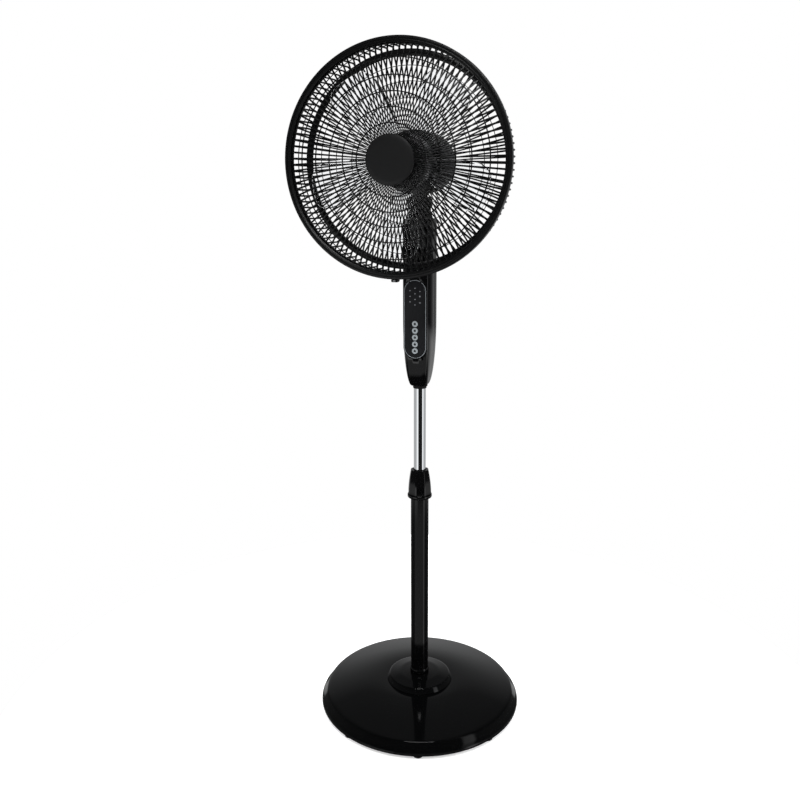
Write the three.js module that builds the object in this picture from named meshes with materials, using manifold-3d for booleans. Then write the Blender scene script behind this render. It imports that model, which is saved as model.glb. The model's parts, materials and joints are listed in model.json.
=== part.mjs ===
// Pedestal fan: weighted round base, telescopic pole, control housing, and a swinging, tilting fan head.
// Millimetres, +Z up. The origin is on the floor on the pole's axis, and the fan blows towards -Y.
import * as THREE from 'three';
import { mergeVertices } from 'three/addons/utils/BufferGeometryUtils.js';
import Module from 'manifold-3d';

const wasm = await Module();
wasm.setup();

// ---- driving dimensions ----
const fit = 0.3; // clearance between pieces that touch or slide
const largeSides = 36; // sides of the base, the rim and the grilles' rings
const roundSides = 24; // sides of a middling turned piece
const smallSides = 16; // sides of a small turned piece

const baseRadius = 214;
const baseLift = 7; // the skirt hangs this far above the floor
const baseSkirt = 6; // upright band at the foot of the cover
const baseBevelWidth = 13; // sloping band between the skirt and the ridge
const baseRidgeHeight = 31;
const baseSeatHeight = 49; // flat seat that the pole flange rests on
const baseWall = 3;
const footCount = 8;
const footRadius = 11;
const footInset = 14; // from the base's rim in to the middle of a foot
const footTurn = 16; // degrees from straight ahead to the first foot
const plateThickness = 2;
const weightRadius = 140;
const weightThickness = 10.4;
const boltRadius = 5;

const flangeRadius = 71;
const flangeTopRadius = 65;
const flangeHeight = 11;
const flangeCrown = 4.5; // the flange's top rises this much towards the pole

const outerPoleRadius = 18.75;
const outerPoleWall = 1.5;
const outerPoleTop = 492;
const footRingWidth = 1.6;
const footRingHeight = 11;

const innerPoleRadius = 12.5;
const innerPoleWall = 1.2;
const innerPoleBottom = 250;
const innerPoleTop = 770;

const collarBottom = 466;
const collarTop = 528;
const collarFlangeRadius = 25.7;
const collarFlangeHeight = 9;
const collarBodyRadius = 24;
const collarLipRadius = 18.4;
const collarMouthRadius = 16.2; // bore round the top of the collet
const collarTaperBottom = 487; // the grip is straight below this height
const collarFacets = 8; // flat faces round the collar's grip
const collarTurn = 20; // degrees that one face is turned from straight ahead towards +X
const colletBottom = 430;
const colletFlange = 3.7;
const colletSlot = 3;

const neckBottom = 710;
const neckTop = 1050;
const neckTaperTop = 850; // the housing is straight above this height
const neckTaperDepth = 0.53; // share of the half width that the rounded taper takes off at the bottom
const neckHalfWidth = 29.4;
const neckHalfDepth = 34.3;
const neckSquareness = 5;
const neckWall = 2.5;
const neckFloor = 6;
const sleeveWall = 2.8;
const sleeveDrop = 7; // the sleeve shows this far below the housing

const panelWidth = 44;
const panelHeight = 157;
const panelBottom = 772;
const panelThickness = 1.6;
const panelFace = 34.3; // how far ahead of the pole's axis the panel's face stands
const panelTrimWidth = 1.1;
const panelPadRim = 1.3;
const panelLedge = 3.5;
const buttonCount = 5;
const buttonRadius = 4.95;
const buttonPitch = 13.8;
const buttonLowest = 786.3;
const buttonStandProud = 1.2;
const buttonTravel = 1;
const guideBottom = 877; // the block that spreads the indicator lights behind the panel
const guideTop = 916;
const guideHalfWidth = 13;
const guideThickness = 3;
const boardThickness = 1.6;
const boardSetback = 8.6; // from the panel's back to the circuit board

const screwRadius = 1.9;
const shellScrewHeights = [945, 985];
const lockScrewHeight = 745;
const glandHeight = 800;
const glandBore = 3.2;
const glandRadius = 5;

const gearModule = 1;
const gearTeeth = 28;
const pinionTeeth = 10;
const gearThickness = 6;
const gearBottom = 1026;
const bracketBottom = 1020;
const bracketThickness = 2.5;
const swingMotorRadius = 14;
const swingMotorHeight = 17;
const swingMotorOffset = 8; // its output shaft stands this far off the middle of the can
const spindleRadius = 6;
const turntableRadius = 25;
const turntableThickness = 6;

const tiltHeight = 1080; // height of the tilt pivot
const tiltPinRadius = 5;
const earInner = 12.3;
const earThickness = 6.7;
const earRadius = 13;

const tiltRise = 17; // the motor's underside stands this far above the tilt pivot
const motorRadius = 62;
const motorFront = 56;
const motorSplit = 8;
const motorRear = 66;
const motorWall = 2.2;
const noseRadius = 17;
const noseFront = 72;
const noseBore = 8.3;
const shaftRadius = 4;
const shaftFront = 131;
const shaftRear = 40;
const rotorRadius = 31.5;
const rotorLength = 36;
const statorRadius = 46;
const statorLength = 40;
const windingGap = 0.6;
const bearingWidth = 8;

const rimRadius = 215;
const rimFront = 165;
const rimDepth = 17;
const rimWall = 5.7;
const rimLip = 1.6;
const rimSeat = 7; // radial width of the grilles' outer rings
const ribCount = 16;
const ribWidth = 1.8;
const ribDepth = 3;
const frontDome = 24; // how far the front grille swells ahead of its outer ring
const capRadius = 45.5;
const capThickness = 4;
const rearRingRadius = 196;
const rearRingWidth = 13;
const rearRingFront = 94;
const rearShoulderDepth = 8; // how far ahead of the flat band the rear cage's shoulder ends
const rearRingThickness = 4;
const rearPlateRadius = 58;
const rearPlateThickness = 2.7;
const hoopRadii = [90, 147];
const nutRadius = 30;
const nutThickness = 6.7;

const bladeCount = 5;
const bladeTipRadius = 178;
const bladeThickness = 2.4;
const bladeRootSpan = 44; // degrees of turn that a blade covers at its root
const bladeTipSpan = 33;
const bladeRootTwist = 34; // depth along the axis from leading to trailing edge
const bladeTipTwist = 29;
const bladeRake = 34; // the tips stand this far ahead of the roots
const bladeFirstAngle = 53; // degrees from +X, seen from the front
const hubRadius = 52;
const hubFront = 122;
const hubRear = 80;
const hubWall = 3;
const spinnerRadius = 16;
const spinnerFront = 137;

// ---- derived places ----
const plateBottom = baseLift + fit;
const plateTop = plateBottom + plateThickness;
const plateRadius = baseRadius - baseWall - fit;
const weightTop = plateTop + fit + weightThickness;
const socketPlateThickness = 5;
const socketTop = 70;
const outerPoleBottom = weightTop + fit + socketPlateThickness + fit;
const outerPoleBore = outerPoleRadius - outerPoleWall;
const flangeBottom = baseSeatHeight + fit;
const flangeTop = flangeBottom + flangeHeight;
const footRingBottom = flangeTop + flangeCrown + fit;
const footCircle = baseRadius - footInset;
const axisHeight = tiltHeight + tiltRise + motorRadius; // height of the fan's axis
const sleeveBore = innerPoleRadius + fit;
const sleeveRadius = sleeveBore + sleeveWall;
const sleeveBottom = neckBottom - sleeveDrop;
const panelMiddle = panelBottom + panelHeight / 2;
const panelBack = panelFace - panelThickness;
const boardFront = panelBack - boardSetback;
const pinionOffset = (gearTeeth + pinionTeeth) * gearModule / 2 + 0.15;
const bearingRadius = noseBore - fit;
const rimRear = rimFront - rimDepth;
const rimBore = rimRadius - rimWall;
const grilleOuter = rimBore - fit;
const grilleInner = grilleOuter - rimSeat;
const frontRingFront = rimFront - rimLip - fit;
const rearRingSeatRear = rimRear + rimLip + fit;
const grilleSplit = (frontRingFront + rearRingSeatRear) / 2;
const rearPlateFront = motorFront + fit + rearPlateThickness;
const bandInner = rearRingRadius - rearRingWidth / 2;
const bandOuter = rearRingRadius + rearRingWidth / 2;
const ribEnd = grilleInner + rimSeat / 2;
const rearWallRadius = ribEnd - 1.8;

// ---- shared helpers ----
// Lets three.js geometry be joined and cut: a closed geometry becomes a solid, and a solid a geometry.
function solidFrom(geometry) {
  const bare = geometry.clone();
  bare.deleteAttribute('normal');
  bare.deleteAttribute('uv');
  const merged = mergeVertices(bare, 1e-4);
  const index = merged.index.array;
  const place = merged.attributes.position;
  const corner = [new THREE.Vector3(), new THREE.Vector3(), new THREE.Vector3()];
  const faces = [];
  let volume = 0;
  for (let i = 0; i < index.length; i += 3) {
    const [a, b, c] = [index[i], index[i + 1], index[i + 2]];
    if (a === b || b === c || c === a) continue;
    faces.push([a, b, c]);
    [a, b, c].forEach((v, k) => corner[k].fromBufferAttribute(place, v));
    volume += corner[0].dot(corner[1].cross(corner[2])) / 6;
  }
  const facingOut = volume < 0 ? faces.map(([a, b, c]) => [a, c, b]) : faces;
  return new wasm.Manifold(new wasm.Mesh({
    numProp: 3,
    vertProperties: Float32Array.from(place.array),
    triVerts: Uint32Array.from(facingOut.flat()),
  }));
}

function geometryFrom(solid) {
  const mesh = solid.getMesh();
  const geometry = new THREE.BufferGeometry();
  const corners = Float32Array.from(mesh.vertProperties);
  geometry.setAttribute('position', new THREE.BufferAttribute(corners, 3));
  geometry.setIndex(Array.from(mesh.triVerts));
  geometry.computeVertexNormals();
  return geometry;
}

function join(...geometries) {
  return geometryFrom(geometries.map(solidFrom).reduce((whole, next) => whole.add(next)));
}

function cut(geometry, ...tools) {
  const blank = solidFrom(geometry);
  return geometryFrom(tools.map(solidFrom).reduce((whole, tool) => whole.subtract(tool), blank));
}

function common(geometry, tool) {
  return geometryFrom(solidFrom(geometry).intersect(solidFrom(tool)));
}

// A turned piece about +Z from [radius, height] points. The outline closes on itself off the axis.
function turned(outline, sides = roundSides) {
  const points = outline.map(([radius, height]) => new THREE.Vector2(radius, height));
  const onAxis = points[0].x === 0 && points[points.length - 1].x === 0;
  if (!onAxis) points.push(points[0].clone());
  return geometryFrom(solidFrom(new THREE.LatheGeometry(points, sides).rotateX(Math.PI / 2)));
}

// A turned piece about the fan's axis from [radius, distance ahead of the pole's axis] points.
function turnedAhead(outline, sides = roundSides) {
  return turned(outline, sides).rotateX(Math.PI / 2).translate(0, 0, axisHeight);
}

function tube(outer, inner, bottom, top, sides = roundSides) {
  return turned([[inner, bottom], [outer, bottom], [outer, top], [inner, top]], sides);
}

function disc(radius, bottom, top, sides = roundSides) {
  return turned([[0, bottom], [radius, bottom], [radius, top], [0, top]], sides);
}

function tubeAhead(outer, inner, rear, front, sides = roundSides) {
  return turnedAhead([[inner, rear], [outer, rear], [outer, front], [inner, front]], sides);
}

function discAhead(radius, rear, front, sides = roundSides) {
  return turnedAhead([[0, rear], [radius, rear], [radius, front], [0, front]], sides);
}

// A round bar along Y between two depths, for screws, buttons and the holes that they need.
function rod(radius, x, z, fromY, toY, sides = smallSides) {
  return new THREE.CylinderGeometry(radius, radius, Math.abs(toY - fromY), sides)
    .translate(x, (fromY + toY) / 2, z);
}

function box(x0, x1, y0, y1, z0, z1) {
  return new THREE.BoxGeometry(x1 - x0, y1 - y0, z1 - z0)
    .translate((x0 + x1) / 2, (y0 + y1) / 2, (z0 + z1) / 2);
}

// Moves every corner of a geometry by a rule.
function reshape(geometry, rule) {
  const place = geometry.attributes.position;
  const point = new THREE.Vector3();
  for (let i = 0; i < place.count; i += 1) {
    point.fromBufferAttribute(place, i);
    rule(point);
    place.setXYZ(i, point.x, point.y, point.z);
  }
  return geometry;
}

// An upright bar with round ends, standing in the XZ plane between two distances ahead of the pole.
function stadium(width, height, rear, front) {
  const radius = width / 2;
  const half = height / 2 - radius;
  const outline = new THREE.Shape();
  outline.absarc(0, half, radius, 0, Math.PI, false);
  outline.absarc(0, -half, radius, Math.PI, 2 * Math.PI, false);
  outline.closePath();
  const options = { depth: front - rear, bevelEnabled: false, curveSegments: 7 };
  const bar = new THREE.ExtrudeGeometry(outline, options);
  return bar.rotateX(Math.PI / 2).translate(0, -rear, panelMiddle);
}

const metal = { roughness: 0.35, metalness: 0.9 };
const gloss = { roughness: 0.18, metalness: 0 };
const satin = { roughness: 0.45, metalness: 0 };
const fan = new THREE.Group();

function add(name, geometry, color, finish = satin) {
  const mesh = new THREE.Mesh(geometry, new THREE.MeshStandardMaterial({ color, ...finish }));
  mesh.name = name;
  fan.add(mesh);
  return mesh;
}

const glossBlack = 0x0b0b0c;
const softBlack = 0x17181a;
const darkGrey = 0x35373a;
const steel = 0xb9bcc0;
const silver = 0x9c9fa3;

// ---- base ----
// The cover's top line: an arc that rises from the ridge to the flat seat around the pole.
function coverTop(steps, lower) {
  const ridge = baseRadius - baseBevelWidth;
  const seat = flangeRadius + 2;
  return Array.from({ length: steps + 1 }, (_, i) => {
    const share = i / steps;
    const radius = ridge + (seat - ridge) * share;
    const rise = (baseSeatHeight - baseRidgeHeight) * Math.sin(share * Math.PI / 2);
    return [radius, baseRidgeHeight + rise - lower];
  });
}

function baseCover() {
  const skirtTop = baseLift + baseSkirt;
  const bevelFoot = baseRadius - 3;
  const bore = outerPoleRadius + 1;
  return turned([
    [baseRadius, baseLift],
    [baseRadius, skirtTop],
    [bevelFoot, skirtTop + 4],
    ...coverTop(3, 0),
    [bore, baseSeatHeight],
    [bore, baseSeatHeight - baseWall],
    ...coverTop(3, baseWall).reverse(),
    [bevelFoot - baseWall, skirtTop + 2],
    [baseRadius - baseWall, skirtTop - 1],
    [baseRadius - baseWall, baseLift],
  ], largeSides);
}
add('base_cover', baseCover(), glossBlack, gloss);

const boltHole = boltRadius + fit;
add('bottom_plate', tube(plateRadius, boltHole, plateBottom, plateTop, largeSides), softBlack);
add('base_weight', tube(weightRadius, boltHole, plateTop + fit, weightTop), 0x3a3a3a, metal);

const socketRadius = outerPoleBore - fit;
const socketPlateBottom = weightTop + fit;
add('pole_socket', turned([
  [boltHole, socketPlateBottom],
  [socketRadius + 20, socketPlateBottom],
  [socketRadius + 20, socketPlateBottom + socketPlateThickness],
  [socketRadius, socketPlateBottom + socketPlateThickness],
  [socketRadius, socketTop],
  [socketRadius - 2.5, socketTop],
  [socketRadius - 2.5, socketPlateBottom + socketPlateThickness],
  [boltHole, socketPlateBottom + socketPlateThickness],
], 24), steel, metal);

const boltHead = disc(boltRadius * 2, 2, plateBottom - fit, 6);
const boltShank = disc(boltRadius, plateBottom - fit - 1, outerPoleBottom + 12, smallSides);
add('base_bolt', join(boltHead, boltShank), steel, metal);

for (let i = 0; i < footCount; i += 1) {
  const turn = (footTurn - 90 + i * 360 / footCount) * Math.PI / 180;
  const foot = turned([[0, 0], [footRadius - 1, 0], [footRadius, baseLift], [0, baseLift]], 12);
  const mesh = add('foot_' + (i + 1), foot, 0x141414, { roughness: 0.9, metalness: 0 });
  mesh.position.set(footCircle * Math.cos(turn), footCircle * Math.sin(turn), 0);
}

add('pole_flange', turned([
  [flangeRadius, flangeBottom],
  [flangeTopRadius, flangeTop],
  [outerPoleRadius + fit, flangeTop + flangeCrown],
  [outerPoleRadius + fit, flangeTop + flangeCrown - baseWall],
  [flangeTopRadius - 1.5, flangeTop - baseWall],
  [flangeRadius - baseWall - 1, flangeBottom],
], largeSides), glossBlack, gloss);

// ---- pole ----
const footRingInner = outerPoleRadius + fit;
const footRingOuter = footRingInner + footRingWidth;
const footRingTop = footRingBottom + footRingHeight;
add('pole_foot_ring', turned([
  [footRingInner, footRingBottom],
  [footRingOuter, footRingBottom],
  [footRingOuter, footRingTop - 2],
  [footRingInner + 0.4, footRingTop],
  [footRingInner, footRingTop],
]), glossBlack, gloss);

add('outer_pole', tube(outerPoleRadius, outerPoleBore, outerPoleBottom, outerPoleTop), glossBlack, gloss);

const colletOuter = outerPoleBore - fit;
const colletBore = innerPoleRadius + fit;
const colletFlangeTop = outerPoleTop + fit + colletFlange;
const colletTop = collarTop - 1.5;
const colletBody = turned([
  [colletBore, colletBottom],
  [colletOuter, colletBottom],
  [colletOuter, outerPoleTop + fit],
  [outerPoleRadius - 0.4, outerPoleTop + fit],
  [outerPoleRadius - 0.4, colletFlangeTop],
  [collarMouthRadius - fit, colletFlangeTop],
  [collarMouthRadius - fit, colletTop],
  [colletBore, colletTop],
], 24);
const slotHalf = colletSlot / 2;
const slot = box(-slotHalf, slotHalf, 0, outerPoleRadius + 5, colletBottom - 1, colletTop + 1);
add('collar_collet', cut(colletBody, slot), 0x222222);

// The collar is an eight-sided grip that narrows upwards on a round flange and takes the collet.
function heightCollar() {
  const bodyBottom = collarBottom + collarFlangeHeight;
  const acrossCorners = 1 / Math.cos(Math.PI / collarFacets);
  const steps = 4;
  const taper = Array.from({ length: steps + 1 }, (_, i) => {
    const share = i / steps;
    const halfWidth = collarBodyRadius - (collarBodyRadius - collarLipRadius) * share ** 1.35;
    return [halfWidth * acrossCorners, collarTaperBottom + (collarTop - collarTaperBottom) * share];
  });
  const grip = turned([
    [0, bodyBottom - 2],
    [collarBodyRadius * acrossCorners, bodyBottom - 2],
    ...taper,
    [0, collarTop],
  ], collarFacets);
  const faceTurn = (collarTurn - 180 / collarFacets) * Math.PI / 180;
  const flange = turned([
    [0, collarBottom],
    [collarFlangeRadius - 1, collarBottom],
    [collarFlangeRadius, collarBottom + 1],
    [collarFlangeRadius, bodyBottom - 1],
    [collarFlangeRadius - 1, bodyBottom],
    [0, bodyBottom],
  ]);
  const poleBore = disc(outerPoleRadius + fit, collarBottom - 1, colletFlangeTop + fit);
  const mouth = disc(collarMouthRadius, colletFlangeTop, collarTop + 1);
  return cut(join(flange, grip.rotateZ(faceTurn)), poleBore, mouth);
}
add('height_collar', heightCollar(), glossBlack, { roughness: 0.3, metalness: 0 });

const innerPoleBore = innerPoleRadius - innerPoleWall;
const chrome = { roughness: 0.06, metalness: 1 };
add('inner_pole', tube(innerPoleRadius, innerPoleBore, innerPoleBottom, innerPoleTop), 0xdfe2e6, chrome);

const plugFlangeTop = innerPoleBottom - fit;
add('inner_pole_plug', turned([
  [0, plugFlangeTop - 15],
  [outerPoleBore - fit, plugFlangeTop - 15],
  [outerPoleBore - fit, plugFlangeTop],
  [innerPoleBore - fit, plugFlangeTop],
  [innerPoleBore - fit, innerPoleBottom + 25],
  [0, innerPoleBottom + 25],
], 24), 0x222222);

// ---- control housing ----
// Share of the full section that the housing keeps at a height: an elliptical arc below the taper's top.
function neckShare(height) {
  const drop = Math.min(1, Math.max(0, (neckTaperTop - height) / (neckTaperTop - neckBottom)));
  return 1 - neckTaperDepth * (1 - Math.sqrt(1 - drop * drop * 0.985));
}

// A closed body with the housing's rounded-square section through a list of heights, shrunk all round by an
// inset, and with its top edge pulled in by a bevel.
function neckBody(inset, heights, topBevel = 0) {
  const last = heights.length - 1;
  const topShare = 1 - topBevel / neckHalfDepth;
  const side = heights.map((height, i) => [i === last ? topShare : 1, height]);
  const rows = [[0, heights[0]], ...side, [0, heights[last]]];
  const outline = rows.map(([share, height]) => new THREE.Vector2(share, height));
  const body = new THREE.LatheGeometry(outline, 24).rotateX(Math.PI / 2);
  return reshape(body, (point) => {
    const radius = Math.hypot(point.x, point.y);
    if (radius < 1e-6) return;
    const [c, s] = [point.x / radius, point.y / radius];
    const reach = (Math.abs(c) ** neckSquareness + Math.abs(s) ** neckSquareness) ** (-1 / neckSquareness);
    const share = neckShare(point.z);
    point.x = c * reach * radius * (neckHalfWidth * share - inset);
    point.y = s * reach * radius * (neckHalfDepth * share - inset);
  });
}

const trimOuterWidth = panelWidth + 2 * panelTrimWidth;
const trimOuterHeight = panelHeight + 2 * panelTrimWidth;
const padWidth = trimOuterWidth + 2 * (fit + panelPadRim);
const padHeight = trimOuterHeight + 2 * (fit + panelPadRim);
const ledgeWidth = panelWidth - 2 * panelLedge;
const ledgeHeight = panelHeight - 2 * panelLedge;
const neckReach = 60; // reaches past the housing on every side, for halves and cutting tools

// Heights at which the housing's sides are drawn, closer together where the taper curves most.
function neckHeights(bottom, top) {
  const taper = [0, 0.12, 0.3, 0.6, 1].map((share) => bottom + (neckTaperTop - bottom) * share);
  return [...taper, top];
}

const shellScrewHead = 3.6;
const lockScrewHead = 4;
const screwHeadHeight = 2.5;
const shellScrewSeat = 24; // how far behind the pole's axis the heads sit
const shellScrewTip = -14;
const screwBoss = 6;
const glandFlange = 8;
const lockScrewSeat = neckHalfDepth * neckShare(lockScrewHeight) - 1;
const glandSeat = neckHalfDepth * neckShare(glandHeight) - 1;

function neckShells() {
  const pad = stadium(padWidth, padHeight, 10, panelFace);
  const outside = join(neckBody(0, [...neckHeights(neckBottom, neckTop - 4), neckTop], 4), pad);
  const inside = neckBody(neckWall, neckHeights(neckBottom + neckFloor, neckTop - neckWall - 4));
  const hollow = cut(
    outside,
    inside,
    disc(sleeveRadius + fit, neckBottom - 1, innerPoleTop + 5 + fit, 24),
    disc(spindleRadius + fit, neckTop - neckWall - 5, neckTop + 1, 24),
    stadium(trimOuterWidth + 2 * fit, trimOuterHeight + 2 * fit, panelBack - fit, panelFace + 5),
    stadium(ledgeWidth, ledgeHeight, 5, panelFace + 5),
  );
  const bosses = shellScrewHeights.map((z) => rod(screwBoss, 0, z, -neckHalfDepth + 1, neckHalfDepth - 1));
  const bored = cut(
    join(hollow, ...bosses),
    ...shellScrewHeights.map((z) => rod(screwRadius + fit, 0, z, -20, neckReach)),
    ...shellScrewHeights.map((z) => rod(shellScrewHead + fit, 0, z, shellScrewSeat, neckReach)),
    rod(screwRadius + fit, 0, lockScrewHeight, 0, neckReach),
    rod(lockScrewHead + fit, 0, lockScrewHeight, lockScrewSeat, neckReach),
    rod(glandRadius + fit, 0, glandHeight, 0, neckReach),
    rod(glandFlange + fit, 0, glandHeight, glandSeat, neckReach),
  );
  const halfGap = fit / 2;
  const zSpan = [neckBottom - 5, neckTop + 5];
  return {
    front: common(bored, box(-neckReach, neckReach, -neckReach, -halfGap, ...zSpan)),
    rear: common(bored, box(-neckReach, neckReach, halfGap, neckReach, ...zSpan)),
  };
}
const shells = neckShells();
add('neck_front_shell', shells.front, glossBlack, gloss);
add('neck_rear_shell', shells.rear, glossBlack, gloss);

const sleeveBody = turned([
  [0, innerPoleTop + fit],
  [sleeveBore, innerPoleTop + fit],
  [sleeveBore, sleeveBottom],
  [sleeveRadius, sleeveBottom],
  [sleeveRadius, innerPoleTop + 5],
  [0, innerPoleTop + 5],
], 24);
const lockBore = rod(screwRadius + fit, 0, lockScrewHeight, 5, neckReach);
add('neck_sleeve', cut(sleeveBody, lockBore), softBlack);

function screw(z, headY, tipY, headRadius) {
  const head = rod(headRadius, 0, z, headY - screwHeadHeight, headY);
  return join(head, rod(screwRadius, 0, z, tipY, headY - 1, 14));
}
shellScrewHeights.forEach((z, i) => {
  const made = screw(z, shellScrewSeat + fit + screwHeadHeight, shellScrewTip, shellScrewHead);
  add('shell_screw_' + (i + 1), made, steel, metal);
});
const lockScrewFront = lockScrewSeat + fit + screwHeadHeight;
const lockScrew = screw(lockScrewHeight, lockScrewFront, innerPoleRadius + fit, lockScrewHead);
add('neck_lock_screw', lockScrew, steel, metal);

const glandBody = join(
  rod(glandRadius, 0, glandHeight, glandSeat - 5, glandSeat + 2),
  rod(glandFlange, 0, glandHeight, glandSeat + fit, glandSeat + 6),
);
const glandHole = rod(glandBore, 0, glandHeight, glandSeat - 8, glandSeat + 8);
add('cord_gland', cut(glandBody, glandHole), softBlack);

// ---- control panel ----
const buttonHeights = Array.from({ length: buttonCount }, (_, i) => {
  return buttonLowest + (buttonCount - 1 - i) * buttonPitch;
});

const panelPlate = stadium(panelWidth - 2 * fit, panelHeight - 2 * fit, panelBack, panelFace);
add('control_panel', cut(
  panelPlate,
  ...buttonHeights.map((z) => rod(buttonRadius + fit, 0, z, -panelFace - 2, -panelBack + 2)),
), 0x1d1e22, { roughness: 0.6, metalness: 0 });

add('panel_trim', cut(
  stadium(trimOuterWidth, trimOuterHeight, panelBack, panelFace + 0.3),
  stadium(panelWidth, panelHeight, panelBack - 1, panelFace + 2),
), 0x8d9196, metal);

buttonHeights.forEach((z, i) => {
  const cap = rod(buttonRadius, 0, z, -panelFace - buttonStandProud, -panelBack + fit);
  const rim = rod(buttonRadius + 1, 0, z, -panelBack + fit, -panelBack + fit + 1);
  const stem = rod(2, 0, z, -panelBack + fit, -boardFront - 2.4 - buttonTravel - fit, 12);
  add('button_' + (i + 1), join(cap, rim, stem), silver, { roughness: 0.4, metalness: 0.4 });
});

const boardBottom = buttonLowest - 8;
const boardTop = guideTop + 5;
const board = box(-16, 16, -boardFront, -boardFront + boardThickness, boardBottom, boardTop);
const switches = buttonHeights.map((z) => box(-3, 3, -boardFront - 2.4, -boardFront + 0.5, z - 3, z + 3));
add('circuit_board', join(board, ...switches), 0x1c4a2a);

const guideFront = panelBack - fit;
const guideBlock = box(
  -guideHalfWidth,
  guideHalfWidth,
  -guideFront,
  -guideFront + guideThickness,
  guideBottom,
  guideTop,
);
const lampHeights = [0.2, 0.5, 0.8].map((share) => guideBottom + (guideTop - guideBottom) * share);
const lampPlaces = [-1, 0, 1].flatMap((side) => lampHeights.map((z) => [side * guideHalfWidth * 0.7, z]));
const wellRear = -guideFront + guideThickness + 1;
const lampWells = lampPlaces.map(([x, z]) => rod(1.6, x, z, -guideFront + 1, wellRear, 6));
add('light_guide', cut(guideBlock, ...lampWells), 0xc8ccd0, { roughness: 0.3, metalness: 0 });

// ---- swing drive ----
// A spur gear with involute flanks about +Z. Its teeth are thinned by a little backlash.
function spurGear(teeth, thickness, bore, backlash, firstTooth) {
  const pressure = 20 * Math.PI / 180;
  const pitch = teeth * gearModule / 2;
  const baseCircle = pitch * Math.cos(pressure);
  const tip = pitch + gearModule * 0.9;
  const root = pitch - gearModule * 1.2;
  const involute = (radius) => {
    const share = Math.max(1, radius / baseCircle);
    return Math.sqrt(share ** 2 - 1) - Math.acos(1 / share);
  };
  const halfTooth = Math.PI / (2 * teeth) - backlash / (2 * pitch) + involute(pitch);
  const flank = [root, tip].map((radius) => [radius, halfTooth - involute(radius)]);
  const outline = new THREE.Shape();
  const toothTurn = 2 * Math.PI / teeth;
  for (let i = 0; i < teeth; i += 1) {
    const middle = firstTooth + i * toothTurn;
    const rising = flank.map(([radius, turn]) => [radius, -turn]);
    const falling = flank.map(([radius, turn]) => [radius, turn]).reverse();
    const points = [...rising, ...falling];
    points.forEach(([radius, turn], k) => {
      const at = [radius * Math.cos(middle + turn), radius * Math.sin(middle + turn)];
      if (i === 0 && k === 0) outline.moveTo(...at);
      else outline.lineTo(...at);
    });
  }
  outline.closePath();
  const blank = new THREE.ExtrudeGeometry(outline, { depth: thickness, bevelEnabled: false });
  return bore > 0 ? cut(blank, disc(bore, -1, thickness + 1, 24)) : geometryFrom(solidFrom(blank));
}

const backlash = 0.25;
const swingGear = spurGear(gearTeeth, gearThickness, spindleRadius + fit, backlash, Math.PI / 2);
add('swing_gear', swingGear.translate(0, 0, gearBottom), 0xd8d6cc);

const pinionFirst = -Math.PI / 2 + Math.PI / pinionTeeth;
const pinionShaft = disc(2, bracketBottom - 1, gearBottom + 1, 14);
const pinionWheel = spurGear(pinionTeeth, gearThickness + 1, 0, backlash, pinionFirst);
pinionWheel.translate(0, 0, gearBottom - 0.5);
add('swing_pinion', join(pinionShaft, pinionWheel).translate(0, pinionOffset, 0), 0xd8d6cc);

add('swing_bracket', cut(
  neckBody(neckWall + fit, [bracketBottom, bracketBottom + bracketThickness]),
  disc(3.5, bracketBottom - 1, bracketBottom + bracketThickness + 1, 20).translate(0, pinionOffset, 0),
), steel, metal);

const swingMotorTop = bracketBottom - fit;
const swingMotorCan = disc(swingMotorRadius, swingMotorTop - swingMotorHeight, swingMotorTop, 32);
add('swing_motor', cut(
  swingMotorCan.translate(0, pinionOffset - swingMotorOffset, 0),
  disc(2 + fit, bracketBottom - 4, bracketBottom, 16).translate(0, pinionOffset, 0),
), steel, metal);

// A bar along X for the tilt joint's pin and its holes.
function crossBar(radius, fromX, toX, sides = smallSides) {
  return new THREE.CylinderGeometry(radius, radius, toX - fromX, sides)
    .rotateZ(Math.PI / 2).translate((fromX + toX) / 2, 0, tiltHeight);
}

// An upright plate across X, rounded about the tilt pivot.
function roundedPlate(radius, fromX, toX, endZ) {
  const [low, high] = [Math.min(endZ, tiltHeight), Math.max(endZ, tiltHeight)];
  return join(box(fromX, toX, -radius, radius, low, high), crossBar(radius, fromX, toX, 24));
}

const turntableBottom = neckTop + fit;
const turntableTop = turntableBottom + turntableThickness;
const earOuter = earInner + earThickness;
const yokeSpindle = disc(spindleRadius, bracketBottom + bracketThickness + fit, turntableBottom + 1, 24);
const turntable = turned([
  [0, turntableBottom],
  [turntableRadius, turntableBottom],
  [turntableRadius, turntableTop - 2],
  [turntableRadius - 2, turntableTop],
  [0, turntableTop],
]);
add('swing_yoke', cut(
  join(
    yokeSpindle,
    turntable,
    roundedPlate(earRadius, -earOuter, -earInner, turntableTop - 1),
    roundedPlate(earRadius, earInner, earOuter, turntableTop - 1),
  ),
  crossBar(tiltPinRadius + fit, -40, 40),
), softBlack);

const pinHead = crossBar(tiltPinRadius + 4, earOuter + fit, earOuter + 5, 24);
add('tilt_bolt', join(crossBar(tiltPinRadius, -earOuter - 7, earOuter + 1), pinHead), steel, metal);
add('tilt_nut', cut(
  crossBar(tiltPinRadius + 5, -earOuter - 5.5, -earOuter - fit, 6),
  crossBar(tiltPinRadius + fit, -40, 0),
), steel, metal);

// ---- fan head: motor ----
const lugHalf = earInner - fit;
add('tilt_lug', cut(
  roundedPlate(earRadius - 1, -lugHalf, lugHalf, axisHeight - motorRadius + 4),
  crossBar(tiltPinRadius + fit, -40, 40),
  discAhead(motorRadius + fit, -motorRear, motorFront),
), softBlack);

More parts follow.
